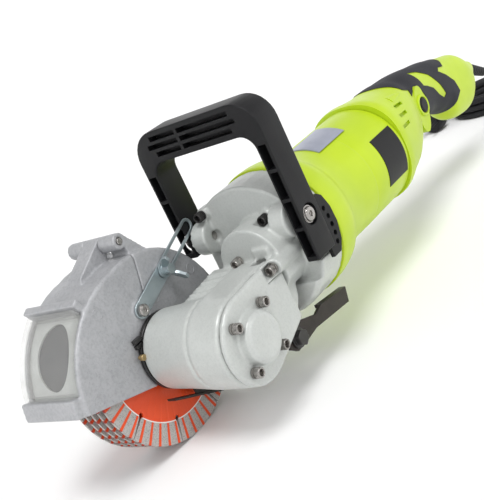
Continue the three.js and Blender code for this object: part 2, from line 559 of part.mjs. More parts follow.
function guardRear() {
  let shell = cut(guardShell(), frontRegion(SEAM_GAP));
  const neck = rodY(0, 0, NECK_CLEAR - 1, GUARD_NEAR - 4, GUARD_NEAR + GUARD_WALL, 30);
  shell = join(shell, neck);
  for (const [from, to] of [[GUARD_NEAR + 4.5, MIDDLE_NEAR - GAP], [MIDDLE_FAR + GAP, GUARD_FAR - 4]]) {
    const foot = [[HINGE_X + 2.5, HINGE_Z - 6], [HINGE_X - 2, HINGE_Z], [HINGE_X + HINGE_RADIUS - 1, HINGE_Z + 3],
      [HINGE_X + 24, HINGE_Z - 20.7], [HINGE_X + 3, HINGE_Z - 15]];
    shell = join(shell, barrel(from, to), plateY(foot, from, to));
  }
  shell = join(shell, rodY(WING_X, WING_Z, 7, GUARD_NEAR - 0.8, GUARD_NEAR + GUARD_WALL + 3, 18));
  shell = cut(shell, rodY(WING_X, WING_Z, 3 + GAP, GUARD_NEAR - 2, 5, 14), pinHole);
  return cut(shell, rodY(0, 0, NOSE_RADIUS + GAP, GUARD_NEAR - 6, 0, 30));
}

add("guard_rear_shell", guardRear(), "cast");
add("guard_front_shell", guardFront(), "cast");
add("guard_hinge_pin", rodY(HINGE_X, HINGE_Z, 3, GUARD_NEAR + 4, GUARD_FAR - 3, 16), "steel");

function guardWindow() {
  const near = GUARD_NEAR + 4 + GAP;
  const far = GUARD_FAR - 4 - GAP;
  const [top, bottom] = [WINDOW_TOP + 0.3, WINDOW_BOTTOM - 0.3];
  const outer = sector(GUARD_RADIUS - 3, GUARD_RADIUS + BULGE, top, bottom, near, far, 12);
  const inner = sector(GUARD_RADIUS - 4, GUARD_RADIUS + BULGE - 2.4, top + 1.6, bottom - 1.6, near + 2.4, far - 2.4, 12);
  return cut(outer, inner);
}
add("guard_window", guardWindow(), "clear");

// Slotted strap from the front shell's pivot past the wing bolt; it holds the opened guard.
const STRAP_LENGTH = 92;
const TIP = -2; // screws end short of the first disc
const STRAP_HALF = 7;
const SLOT_HALF = 4.4;
const STRAP_NEAR = GUARD_NEAR - 2.8;
const STRAP_FAR = GUARD_NEAR - 1.1;
function strap() {
  const turn = Math.atan2(WING_Z - PIVOT_Z, WING_X - PIVOT_X);
  const start = Math.hypot(WING_Z - PIVOT_Z, WING_X - PIVOT_X) - 3;
  const capsule = (from, to, half) => [...arc(from, 0, half, 90, 270, 8), ...arc(to, 0, half, -90, 90, 8)];
  const turned = (points) => points.map(([a, b]) => [
    PIVOT_X + a * Math.cos(turn) - b * Math.sin(turn), PIVOT_Z + a * Math.sin(turn) + b * Math.cos(turn)]);
  return cut(
    plateY(turned(capsule(0, STRAP_LENGTH, STRAP_HALF)), STRAP_NEAR, STRAP_FAR),
    plateY(turned(capsule(start, STRAP_LENGTH, SLOT_HALF)), STRAP_NEAR - 1, STRAP_FAR + 1),
    rodY(PIVOT_X, PIVOT_Z, 2.5 + GAP, STRAP_NEAR - 1, STRAP_FAR + 1, 14));
}
add("guard_strap", strap(), "zinc");
const pivotScrew = turnedY([[0, TIP], [2.5, TIP], [2.5, STRAP_NEAR - GAP], [5.2, STRAP_NEAR - GAP], [5.2, STRAP_NEAR - 3],
  [4, STRAP_NEAR - 4.2], [0, STRAP_NEAR - 4.2]], PIVOT_X, PIVOT_Z, 18);
add("strap_pivot_screw", cut(pivotScrew, rodY(PIVOT_X, PIVOT_Z, 2, STRAP_NEAR - 6, STRAP_NEAR - 2, 6)), "steel");

function wingBolt() {
  const y = STRAP_NEAR - GAP;
  const shank = turnedY([[0, TIP], [3, TIP], [3, y], [7, y], [7, y - 1.4], [5, y - 1.4], [4.4, y - 9], [0, y - 9]], WING_X, WING_Z, 18);
  const wing = [[2.5, -5], [6.5, -12], [10.5, -16], [14.5, -15.5], [14.5, -12], [9, -6], [5, -2.5], [2.5, -2.5]];
  let bolt = shank;
  for (const side of [-1, 1]) {
    const shape = polygon(wing.map(([a, b]) => [side * a, b]));
    const blade = new THREE.ExtrudeGeometry(shape, { depth: 2.6, bevelEnabled: false });
    blade.translate(0, y, -1.3);
    blade.rotateY(WING_TURN);
    blade.translate(WING_X, 0, WING_Z);
    bolt = join(bolt, toSolid(blade));
  }
  return bolt;
}
const WING_TURN = THREE.MathUtils.degToRad(62);
add("wing_bolt", wingBolt(), "zinc");

// Split band that clamps the rear shell's neck on the nose, with its screw.
const BAND_NEAR = GUARD_NEAR - 3.8;
const band = cut(
  join(ringY(0, 0, NECK_CLEAR - 1 + GAP, NECK_CLEAR + 1, BAND_NEAR, GUARD_NEAR - GAP, 30),
    boxSolid(-31, -22, BAND_NEAR, GUARD_NEAR - GAP, 18, 26).subtract(rodY(0, 0, NECK_CLEAR - 1 + GAP, -20, 0, 30))),
  boxSolid(-36, -20, BAND_NEAR - 1, 0, 21.2, 22.4));
add("guard_clamp_band", band, "brass");

// Sheet skirt under the nose that turns dust back into the guard.
const SKIRT_FRONT = 3;
const SKIRT_REAR = 46;
const SKIRT_TOP = -35.5;
const skirtLow = (x) => baseAt(x) - 20 - (x - SKIRT_FRONT) * 0.2;
const skirt = join(
  plateY([[SKIRT_FRONT, SKIRT_TOP], [24, SKIRT_TOP], [SKIRT_REAR, baseAt(SKIRT_REAR) - 2], [SKIRT_REAR, skirtLow(SKIRT_REAR)],
    [SKIRT_FRONT, skirtLow(SKIRT_FRONT)]], GUARD_NEAR - 1.4, GUARD_NEAR),
  plateY([[-26, skirtLow(-26) + 0.6], [SKIRT_REAR, skirtLow(SKIRT_REAR) + 0.6], [SKIRT_REAR, skirtLow(SKIRT_REAR) - 1.4],
    [-26, skirtLow(-26) - 1.4]], GUARD_NEAR - 9, GUARD_NEAR),
  plateY([[24, baseAt(24) + 4], [SKIRT_REAR, baseAt(SKIRT_REAR) + 8], [SKIRT_REAR, baseAt(SKIRT_REAR) - 3], [24, baseAt(24) - 3]],
    GUARD_NEAR - 1.4, GUARD_NEAR - GAP),
);
add("dust_skirt", skirt, "darkSteel");

// ---------------------------------------------------------------- motor
const HOUSING_FRONT = MOTOR_FRONT + GAP;
const MOTOR_ROOM = 45.7;
const STATOR_RADIUS = MOTOR_ROOM - GAP;
function motorHousing() {
  const skin = [
    [61, HOUSING_FRONT], [62, HOUSING_FRONT + 2], [60, 149], [55, 156], [52, 172], [49.5, 186], [BARREL_RADIUS, 200],
    [51.5, BARREL_REAR],
  ];
  let body = turnedX([[0, HOUSING_FRONT], ...skin, [0, BARREL_REAR]], MOTOR_Y, MOTOR_Z, 36);
  body = join(body, boxSolid(160, 178, MOTOR_Y - 10, MOTOR_Y + 10, MOTOR_Z - 57, MOTOR_Z - 46));
  for (const [y, z] of flangeScrews) {
    const out = (value, centre) => centre + (value - centre) * 0.98;
    body = join(body, rodX(out(y, MOTOR_Y), out(z, MOTOR_Z), 6, HOUSING_FRONT, HOUSING_FRONT + 26, 14));
  }
  body = cut(body, rodX(MOTOR_Y, MOTOR_Z, MOTOR_ROOM, HOUSING_FRONT - 1, BULKHEAD, 30));
  body = cut(body, rodX(MOTOR_Y, MOTOR_Z, MOTOR_ROOM, BULKHEAD + 10, BARREL_REAR + 1, 30));
  return cut(body, rodX(MOTOR_Y, MOTOR_Z, SHAFT + 1, BULKHEAD - 1, BULKHEAD + 11, 18),
    rodX(MOTOR_Y, MOTOR_Z, 11 + GAP, REAR_BEARING - GAP, BULKHEAD + 11, 24));
}
const BULKHEAD = REAR_BEARING - 4;
add("motor_housing", motorHousing(), "lime");

function stator() {
  let body = ringX(MOTOR_Y, MOTOR_Z, 36, STATOR_RADIUS, ARMATURE_FRONT, ARMATURE_REAR, 28);
  for (const side of [-1, 1]) {
    const [from, to] = [MOTOR_Y + side * 20, MOTOR_Y + side * 38].sort((a, b) => a - b);
    body = join(body, boxSolid(ARMATURE_FRONT, ARMATURE_REAR, from, to, MOTOR_Z - 16, MOTOR_Z + 16));
  }
  return cut(body, rodX(MOTOR_Y, MOTOR_Z, 25.2, ARMATURE_FRONT - 1, ARMATURE_REAR + 1, 20));
}
add("stator", stator(), "copper");
for (const [i, side] of [-1, 1].entries()) {
  const [from, to] = [MOTOR_Z + side * (15 + GAP), MOTOR_Z + side * 44.6].sort((a, b) => a - b);
  add(`brush_holder_${i + 1}`, boxSolid(226, 237, MOTOR_Y - 4.5, MOTOR_Y + 4.5, from, to), "brass");
}

// ---------------------------------------------------------------- rear handle
// A closed sleeve whose oval cross-sections sit at the given stations along X.
function sleeve(stations, inset, sides = 20) {
  const geometry = new THREE.CylinderGeometry(1, 1, 1, sides, stations.length - 1, false);
  const position = geometry.attributes.position;
  for (let i = 0; i < position.count; i++) {
    const station = stations[Math.round((0.5 - position.getY(i)) * (stations.length - 1))];
    const [x, top, bottom, half] = station;
    const [u, v] = [position.getX(i), position.getZ(i)];
    const squareness = 1 / (Math.abs(u) ** 2.5 + Math.abs(v) ** 2.5) ** (1 / 2.5);
    const scale = u || v ? squareness * Math.hypot(u, v) : 0;
    position.setXYZ(i, x, MOTOR_Y - v * scale * (half - inset), (top + bottom) / 2 + u * scale * ((top - bottom) / 2 - inset));
  }
  return toSolid(geometry);
}
// [x, top, bottom, half width]
const HANDLE = [
  [BARREL_REAR + GAP, 86, -24, 55], [296, 86.5, -24.5, 55.5], [312, 83, -21, 52], [332, 81, -17, 48], [346, 81, -12, 43],
  [358, 81, -7, 38], [372, 80, 2, 31], [393, 79, 9, 28], [415, 76.5, 14, 24.5], [437, 73, 18, 23], [459, 70, 11, 23],
  [473, 67, 5, 23], [485, 64.5, -8, 23], [511, 59, -13, 23], [531, 55, -12, 22.5], [546, 46, -3, 20], [558, 37, 8, 15],
  [GRIP_REAR, 33, 15, 10.5],
];
const GRIP_SKIN = 2;
const gripZone = (grow) => plateY([
  [388 - grow, 95], [395 - grow, 62], [404 - grow, 44], [399 - grow, 28], [409 - grow, 8], [411 - grow, -30],
  [472 + grow, -30], [476 + grow, 14], [486 + grow, 34], [477 + grow, 58], [472 + grow, 95],
], MOTOR_Y - 60, MOTOR_Y + 60);

const TRIGGER_HALF = 8;
const TRIGGER_PIVOT_X = 374;
const TRIGGER_PIVOT_Z = 13;
const BUTTON_X = 386;
const BUTTON_Z = 40.5;
const BUTTON_FACE = -93;
const BUTTON_RADIUS = 8;

function bossOutline(grow) {
  const points = [];
  for (let i = 0; i < 24; i++) {
    const angle = (i * Math.PI) / 12;
    const [a, b] = [(12 + grow) * Math.cos(angle), (24 + grow) * Math.sin(angle)];
    points.push([BUTTON_X - 3 + a + b * 0.22, BUTTON_Z - 3 + b + a * -0.22]);
  }
  return points;
}

function handleShell() {
  let body = sleeve(HANDLE, 0);
  body = join(body, plateY(bossOutline(0), BUTTON_FACE, MOTOR_Y, 1.2, 1));
  body = cut(body, gripZone(GAP).subtract(sleeve(HANDLE, GRIP_SKIN + GAP)));
  body = cut(body, rodX(MOTOR_Y, MOTOR_Z, MOTOR_ROOM, BARREL_REAR - 1, 312, 36));
  body = cut(body, rodX(MOTOR_Y, MOTOR_Z + 12, 18, 300, 366, 20));
  body = cut(body, boxSolid(365, 413, MOTOR_Y - TRIGGER_HALF - FIT, MOTOR_Y + TRIGGER_HALF + FIT, -20, 26));
  body = cut(body, rodY(BUTTON_X, BUTTON_Z, BUTTON_RADIUS + FIT, BUTTON_FACE - 1, MOTOR_Y - 8, 24));
  for (const [vx, angle] of [[321, 39], [315, 28], [308, 17]]) {
    const slot = new THREE.BoxGeometry(20, 14, 3.4);
    slot.translate(vx, -50, 0);
    slot.rotateX(-THREE.MathUtils.degToRad(angle));
    slot.translate(0, MOTOR_Y, MOTOR_Z);
    body = cut(body, toSolid(slot));
  }
  const exit = rodX(0, 0, CORD_RADIUS + 3.2, -16, 6, 20).rotate([0, EXIT_FALL, 0]).translate([GRIP_REAR, MOTOR_Y, EXIT_Z]);
  return cut(body, exit);
}
const EXIT_Z = 24;
const EXIT_FALL = 24;
add("handle_shell", handleShell(), "lime");
const cover = sleeve(HANDLE, 0).intersect(gripZone(0)).subtract(sleeve(HANDLE, GRIP_SKIN));
add("grip_cover", cut(cover, boxSolid(365, 414, MOTOR_Y - TRIGGER_HALF - 2, MOTOR_Y + TRIGGER_HALF + 2, -30, 28),
  plateY(bossOutline(GAP), BUTTON_FACE - 1, MOTOR_Y)), "grip");

const triggerOutline = [
  [368, 15], [378, 17.5], [408, 20], [409, 12], [405, 4], [398, 0.5], [388, 1.2], [380, 0], [373, -3], [369.5, 1],
];
add("trigger", plateY(triggerOutline, MOTOR_Y - TRIGGER_HALF, MOTOR_Y + TRIGGER_HALF, 1, 1), "black");
add("lock_button", turnedY([[0, BUTTON_FACE - 2.5], [6.5, BUTTON_FACE - 2.5], [BUTTON_RADIUS, BUTTON_FACE - 1.2],
  [BUTTON_RADIUS, BUTTON_FACE + 14], [0, BUTTON_FACE + 14]], BUTTON_X, BUTTON_Z, 24), "black");

// ---------------------------------------------------------------- front D-handle
function dHandle() {
  const [left, right] = [MOTOR_Y - D_HALF, MOTOR_Y + D_HALF];
  const [corner, insideCorner] = [24, 13];
  const underBar = D_TOP - D_BAR;
  const outline = [
    [left, D_FOOT], ...arc(left + corner, D_TOP - corner, corner, 180, 90, 7),
    ...arc(right - corner, D_TOP - corner, corner, 90, 0, 7), [right, D_FOOT_FAR], [right - D_LEG, D_FOOT_FAR],
    ...arc(right - D_LEG - insideCorner, underBar - insideCorner, insideCorner, 0, 90, 5),
    ...arc(left + D_LEG + insideCorner, underBar - insideCorner, insideCorner, 90, 180, 5), [left + D_LEG, D_FOOT],
  ];
  let body = plateX(outline, D_FRONT, D_FRONT + D_DEPTH);
  const ear = plateY([[100, 12], [107, 12], [114, 20], [118, 34], [117, 48], [112, 60], [106, 64], [100, 64]],
    left + 1, left + 4.5);
  body = join(body, ear);
  for (const [x, z] of [[107.6, 48.8], [108.8, 40.1], [108.6, 31.4]]) body = cut(body, rodY(x, z, 1.8, left - 1, left + 6, 8));
  for (const row of [-8, 0, 8]) {
    for (let i = 0; i < 4; i++) {
      const y = MOTOR_Y - 36 + i * 24;
      body = cut(body, boxSolid(D_FRONT - 1, D_FRONT + 2.5, y - 9.5, y + 9.5, D_TOP - D_BAR / 2 + row - 1.6, D_TOP - D_BAR / 2 + row + 1.6));
    }
  }
  for (const side of [-1, 1]) {
    body = cut(body, rodY(D_BOLT_X, D_BOLT_Z, 4 + GAP, ...onSide(side, 50, 70), 14),
      rodY(D_BOLT_X, D_BOLT_Z, 9, ...onSide(side, D_HALF - 3.5, 70), 20));
  }
  return body;
}
add("d_handle", dHandle(), "black");
for (const [i, side] of [-1, 1].entries()) {
  const face = D_HALF - 3.5 + GAP;
  const profile = [[0, LUG_INNER + 2], [4, LUG_INNER + 2], [4, face], [7.5, face], [7.5, face + 1.6], [6, face + 1.6],
    [6, face + 3.2], [5, face + 4.2], [0, face + 4.2]];
  const bolt = turnedY(profile.map(([r, t]) => [r, MOTOR_Y + side * t]), D_BOLT_X, D_BOLT_Z, 18);
  const socket = rodY(D_BOLT_X, D_BOLT_Z, 2.6, ...onSide(side, face + 1.8, face + 6), 6);
  add(`d_handle_bolt_${i + 1}`, cut(bolt, socket), "steel");
}

// ---------------------------------------------------------------- stamped lever under the gear case
const LEVER_FACE = -92 - GAP;
const LEVER_PLATE = 3;
const leverOutline = [
  [44, -27], [54, -24.6], [63, -23], [83.5, -30], [90, -28], [94, -27], [134.8, -33], [131, -46], [77, -39], [62, -40.5],
  [45, -41], [36, -34],
];
let lever = plateY(leverOutline, LEVER_FACE - LEVER_PLATE, LEVER_FACE);
lever = join(lever, plateY([[94, -27], [134.8, -33], [134.2, -36], [94, -30]], LEVER_FACE - 1, LEVER_FACE + 4));
add("lever", cut(lever, rodY(LEVER_X, LEVER_Z, 4 + GAP, -100, -90, 16)), "darkSteel");
const leverNear = LEVER_FACE - LEVER_PLATE - GAP;
const leverBolt = join(
  turnedY([[0, -80], [4, -80], [4, leverNear], [8.5, leverNear], [8.5, leverNear - 1.4], [0, leverNear - 1.4]], LEVER_X, LEVER_Z, 18),
  rodY(LEVER_X, LEVER_Z, 7, leverNear - 6, leverNear - 1, 6));
add("lever_bolt", leverBolt, "steel");

// ---------------------------------------------------------------- cord
const FLOOR = -BLADE_RADIUS;
const RELIEF_LENGTH = 50;
const fall = THREE.MathUtils.degToRad(EXIT_FALL);
const along = (t) => [GRIP_REAR + t * Math.cos(fall), MOTOR_Y, EXIT_Z - t * Math.sin(fall)];
function alongExit(profile, sides) {
  const geometry = new THREE.LatheGeometry(lathePoints(profile), sides);
  geometry.rotateZ(-Math.PI / 2);
  geometry.rotateY(fall);
  geometry.translate(...along(0));
  return toSolid(geometry);
}
add("strain_relief", alongExit([[0, -9], [CORD_RADIUS + 2.8, -9], [CORD_RADIUS + 2.8, 4], [CORD_RADIUS + 2, 14],
  [CORD_RADIUS + 0.8, RELIEF_LENGTH], [0, RELIEF_LENGTH]], 16), "cord");

const CORD_REST = FLOOR + CORD_RADIUS;
const COIL_X = 770;
const COIL_HALF = 2 * CORD_RADIUS + 0.2;
const COIL_Y = MOTOR_Y + COIL_RADIUS + COIL_HALF + CORD_RADIUS + GAP;
const cordPoints = [
  along(RELIEF_LENGTH + GAP), along(RELIEF_LENGTH + 22), [668, MOTOR_Y, -38], [696, MOTOR_Y, -64],
  [726, MOTOR_Y, CORD_REST], [748, MOTOR_Y, CORD_REST], [COIL_X, MOTOR_Y, CORD_REST],
];
function tube(points, steps) {
  const path = new THREE.CatmullRomCurve3(points.map((p) => new THREE.Vector3(...p)), false, "centripetal");
  const ring = polygon(arc(0, 0, CORD_RADIUS, 0, 360, 10).slice(0, -1));
  return toSolid(new THREE.ExtrudeGeometry(ring, { steps, extrudePath: path, bevelEnabled: false }));
}
add("cord", tube(cordPoints, 14), "cord");

const coilSide = COIL_RADIUS - COIL_HALF;
const coilHeight = 3 * 2 * CORD_RADIUS;
const coilRing = new THREE.LatheGeometry(
  lathePoints(ringProfile(coilSide, COIL_RADIUS + COIL_HALF, FLOOR, FLOOR + coilHeight)), 32);
coilRing.rotateX(Math.PI / 2);
coilRing.translate(COIL_X, COIL_Y, 0);
add("cord_coil", toSolid(coilRing), "cord");

const PLUG_X = COIL_X - 20;
const PLUG_Y = COIL_Y + COIL_RADIUS + COIL_HALF + CORD_RADIUS + GAP;
let plug = turnedX([[0, 18], [CORD_RADIUS, 18], [CORD_RADIUS, -4], [7, -30], [16, -32], [16, -58], [14, -60], [0, -60]]
  .map(([r, x]) => [r, PLUG_X + x]), 0, 0, 14).translate([0, PLUG_Y, FLOOR + 16]);
for (const side of [-1, 1]) plug = join(plug, rodX(PLUG_Y + side * 9.5, FLOOR + 16, 2.2, PLUG_X - 78, PLUG_X - 58, 8));
add("plug", plug, "cord");

// ---------------------------------------------------------------- frame
const cordPieces = ["strain_relief", "cord", "cord_coil", "plug"];
const box = new THREE.Box3();
for (const mesh of model.children) if (!cordPieces.includes(mesh.name)) box.expandByObject(mesh);
model.position.set(-(box.min.x + box.max.x) / 2, -(box.min.y + box.max.y) / 2, -box.min.z);

export default model;
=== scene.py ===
"""A hand-held wall chaser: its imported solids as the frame, with the visible pieces shaped and finished.

Lengths in the pieces' own tables are millimetres from the spindle axis at the first disc; at() puts
them in the shared frame, in metres.
"""

import json
import math

import bmesh
import bpy
from mathutils import Matrix, Vector

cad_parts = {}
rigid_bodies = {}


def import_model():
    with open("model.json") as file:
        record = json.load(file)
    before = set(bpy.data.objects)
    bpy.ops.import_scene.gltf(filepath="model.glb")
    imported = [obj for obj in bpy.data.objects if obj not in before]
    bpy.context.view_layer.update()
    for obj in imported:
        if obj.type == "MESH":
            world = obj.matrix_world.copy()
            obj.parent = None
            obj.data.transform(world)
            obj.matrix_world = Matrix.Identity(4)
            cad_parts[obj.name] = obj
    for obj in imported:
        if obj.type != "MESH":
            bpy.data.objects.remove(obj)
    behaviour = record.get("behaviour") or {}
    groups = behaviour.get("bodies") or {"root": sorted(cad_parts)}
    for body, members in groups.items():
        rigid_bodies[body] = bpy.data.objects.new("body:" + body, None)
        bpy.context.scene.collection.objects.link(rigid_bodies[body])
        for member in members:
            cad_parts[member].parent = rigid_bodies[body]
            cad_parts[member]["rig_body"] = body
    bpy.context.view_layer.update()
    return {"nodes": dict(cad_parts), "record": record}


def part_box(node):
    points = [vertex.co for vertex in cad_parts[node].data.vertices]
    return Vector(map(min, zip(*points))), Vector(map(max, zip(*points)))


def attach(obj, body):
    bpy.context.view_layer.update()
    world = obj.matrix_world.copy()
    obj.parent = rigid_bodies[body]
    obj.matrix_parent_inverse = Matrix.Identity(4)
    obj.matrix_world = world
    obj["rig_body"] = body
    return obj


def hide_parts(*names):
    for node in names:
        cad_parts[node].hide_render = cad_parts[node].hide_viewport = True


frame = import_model()
nodes = frame["nodes"]
scene = bpy.context.scene

DISC_RADIUS = 78.0
disc_low, disc_high = (Vector(corner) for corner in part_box("blade_1"))
HUB = Vector(((disc_low.x + disc_high.x) / 2, disc_low.y, disc_low.z + DISC_RADIUS / 1000))
MOTOR_Y, MOTOR_Z = -63.0, 31.0


def at(x, y, z):
    """A place given in millimetres from the hub, in the shared frame."""
    return HUB + Vector((x, y, z)) / 1000


# ---------------------------------------------------------------- camera
# Heading from +X towards +Y, fall below level, and roll about the line of sight.
CAMERA_PLACE = (-453.2, -542.84, 242.61)
HEADING = math.radians(42.46834)
FALL = math.radians(15.66731)
ROLL = math.radians(-25.63585)
LENS = 65.3
camera_data = bpy.data.cameras.new("camera")
camera_data.lens = LENS
camera = bpy.data.objects.new("camera", camera_data)
scene.collection.objects.link(camera)
facing = Matrix.Rotation(HEADING - math.pi / 2, 4, "Z") @ Matrix.Rotation(math.pi / 2 - FALL, 4, "X")
camera.matrix_world = Matrix.Translation(at(*CAMERA_PLACE)) @ facing @ Matrix.Rotation(ROLL, 4, "Z")
scene.camera = camera


# ---------------------------------------------------------------- finishes
class Value:
    """A number on a shader socket that takes part in Python expressions."""

    def __init__(self, tree, socket):
        self.tree = tree
        self.socket = socket

    def maths(self, operation, *items, clamp=False):
        node = self.tree.nodes.new("ShaderNodeMath")
        node.operation = operation
        node.use_clamp = clamp
        for port, item in zip(node.inputs, items):
            plug_in(self.tree, port, item)
        return Value(self.tree, node.outputs[0])

    def __add__(self, other):
        return self.maths("ADD", self, other)

    __radd__ = __add__

    def __sub__(self, other):
        return self.maths("SUBTRACT", self, other)

    def __rsub__(self, other):
        return self.maths("SUBTRACT", other, self)

    def __mul__(self, other):
        return self.maths("MULTIPLY", self, other)

    __rmul__ = __mul__

    def __pow__(self, other):
        return self.maths("POWER", self, other)

    def over(self, edge, soft):
        """0 below the edge, 1 above it, with a soft step."""
        return self.maths("MULTIPLY", self - (edge - soft / 2), 1 / soft, clamp=True)


def plug_in(tree, port, item):
    """Links a value to a socket, or sets the socket to a constant."""
    if isinstance(item, Value):
        tree.links.new(item.socket, port)
    else:
        port.default_value = item


MIX_COLOURS = (6, 7)  # the two colour sockets of a Mix node


class Finish:
    """A material: a principled shader with constants, and the nodes that vary over the surface."""

    def __init__(self, name, color, roughness, metallic=0.0, **fixed):
        self.material = bpy.data.materials.new(name)
        self.material.use_nodes = True
        self.tree = self.material.node_tree
        self.shader = self.tree.nodes["Principled BSDF"]
        self.put("Base Color", (*color, 1.0))
        self.put("Roughness", roughness)
        self.put("Metallic", metallic)
        for port, value in fixed.items():
            self.put(port.replace("_", " "), value)
        self.where = Value(self.tree, self.add("ShaderNodeTexCoord").outputs["Object"])

    def put(self, port, value):
        plug_in(self.tree, self.shader.inputs[port], value)

    def add(self, kind, settings=None, **inputs):
        node = self.tree.nodes.new(kind)
        for key, value in (settings or {}).items():
            setattr(node, key, value)
        for port, item in inputs.items():
            plug_in(self.tree, node.inputs[port.replace("_", " ")], item)
        return node

    def place(self, centre=(0, 0, 0), stretch=(1, 1, 1)):
        """Object coordinates from a centre, stretched along each axis."""
        start = tuple(-c * s for c, s in zip(centre, stretch))
        node = self.add("ShaderNodeMapping", Location=start, Scale=stretch, Vector=self.where)
        return Value(self.tree, node.outputs["Vector"])

    def noise(self, scale, detail=3.0, roughness=0.55, stretch=(1, 1, 1)):
        node = self.add("ShaderNodeTexNoise", Scale=scale, Detail=detail, Roughness=roughness,
                        Vector=self.place(stretch=stretch))
        return Value(self.tree, node.outputs["Fac"])

    def cells(self, scale):
        node = self.add("ShaderNodeTexVoronoi", Scale=scale, Vector=self.place())
        return Value(self.tree, node.outputs["Distance"])

    def axes(self, centre):
        """The three coordinates in millimetres from a centre."""
        node = self.add("ShaderNodeSeparateXYZ", Vector=self.place(centre=centre, stretch=(1000, 1000, 1000)))
        return [Value(self.tree, port) for port in node.outputs]

    def blend(self, first, second, share):
        node = self.add("ShaderNodeMix", {"data_type": "RGBA"}, Factor=share)
        for port, colour in zip(MIX_COLOURS, (first, second)):
            plug_in(self.tree, node.inputs[port], colour if isinstance(colour, Value) else (*colour, 1.0))
        return Value(self.tree, node.outputs[2])

    def relief(self, height, depth_mm):
        node = self.add("ShaderNodeBump", Distance=depth_mm / 1000, Height=height)
        self.put("Normal", Value(self.tree, node.outputs["Normal"]))


def moulded(name, color, shade, roughness, grain, depth, coat=0.0, shine=0.4):
    """Moulded plastic: even colour with faint flow marks and a fine spark-eroded grain."""
    finish = Finish(name, color, roughness, Coat_Weight=coat, Coat_Roughness=0.25,
                    Specular_IOR_Level=shine)
    flow = finish.noise(22, 3)
    finish.put("Base Color", finish.blend(color, shade, flow.over(0.55, 0.5)))
    finish.put("Roughness", flow * 0.12 + (roughness - 0.05))
    finish.relief(finish.noise(grain, 2) + finish.noise(grain / 9, 2) * 0.6, depth)
    return finish.material


def casting(name, light, dark, roughness, metallic, grain, depth, speck):
    """Die-cast metal: cloudy tone, fine pits and a slightly uneven skin."""
    finish = Finish(name, light, roughness, metallic)
    cloud = finish.noise(26, 5, 0.65)
    pits = finish.cells(grain)
    fine = finish.noise(grain * 0.8, 3)
    spots = 1 - pits.over(0.16, 0.16)
    tone = finish.blend(light, dark, (cloud.over(0.52, 0.5) * 0.6 + fine.over(0.56, 0.25) * 0.35))
    finish.put("Base Color", finish.blend(tone, speck, spots * cloud.over(0.45, 0.2) * 0.5))
    finish.put("Roughness", cloud * 0.22 + (roughness - 0.1))
    finish.relief(finish.noise(90, 3) * 1.2 + fine * 0.5 + pits * 0.3, depth)
    return finish.material


def brushed(name, light, dark, roughness, metallic=0.9, streak=(1, 1, 1), scale=300):
    """Turned, stamped or plated metal with fine marks along one way and darker handling stains."""
    finish = Finish(name, light, roughness, metallic)
    marks = finish.noise(scale, 4, stretch=streak)
    stain = finish.noise(60, 4)
    finish.put("Base Color", finish.blend(light, dark, marks * 0.35 + stain.over(0.55, 0.3) * 0.5))
    finish.put("Roughness", stain * 0.2 + (roughness - 0.1))
    finish.relief(marks, 0.05)
    return finish.material


def disc_paint():
    """Painted core, a pale ring, then bare segments with painted slots and diamond grit, with painted shade
    darkening the rims.
    """
    ring_inside, ring_outside, rim_edge, soft = 58.6, 59.5, 77.6, 0.3
    slot_count, slot_share = 45, 0.27
    finish = Finish("disc_paint", (0.8, 0.1, 0.015), 0.42)
    x, _, z = finish.axes(HUB)
    radius = (x * x + z * z) ** 0.5
    angle = x.maths("ARCTAN2", z, x) * (1 / math.tau)
    segment = angle.maths("FRACT", angle * slot_count + 0.1)
    slots = 1 - segment.over(slot_share, 0.06)
    grit = finish.cells(900)
    bare = finish.blend((0.46, 0.44, 0.42), (0.25, 0.24, 0.23), 1 - grit.over(0.35, 0.3))
    orange = finish.blend((0.83, 0.085, 0.012), (0.7, 0.06, 0.01), finish.noise(35, 3))
    # Past the rim edge the orange turns dark red: painted shade on the rim faces between the stacked discs.
    shaded_rim = finish.blend(orange, (0.3, 0.015, 0.008), radius.over(rim_edge, soft))
    outside = radius.over(ring_outside, soft)
    ring = radius.over(ring_inside, soft) * (1 - outside)
    colour = finish.blend(orange, finish.blend(bare, shaded_rim, slots), outside)
    finish.put("Base Color", finish.blend(colour, (0.85, 0.84, 0.82), ring))
    finish.put("Roughness", outside * 0.25 + 0.38)
    finish.relief(grit * outside - slots * 0.8, 0.25)
    return finish.material


def clear_plastic():
    """Thin clear window, scuffed and a little cloudy."""
    finish = Finish("clear_plastic", (0.86, 0.86, 0.84), 0.12, IOR=1.49, Coat_Weight=0.4)
    smear = finish.noise(50, 4, stretch=(1, 0.4, 1))
    finish.put("Base Color", finish.blend((0.74, 0.74, 0.72), (0.55, 0.55, 0.53), smear.over(0.55, 0.3)))
    finish.put("Alpha", smear * 0.2 + 0.06)
    finish.put("Roughness", smear * 0.25 + 0.02)
    return finish.material


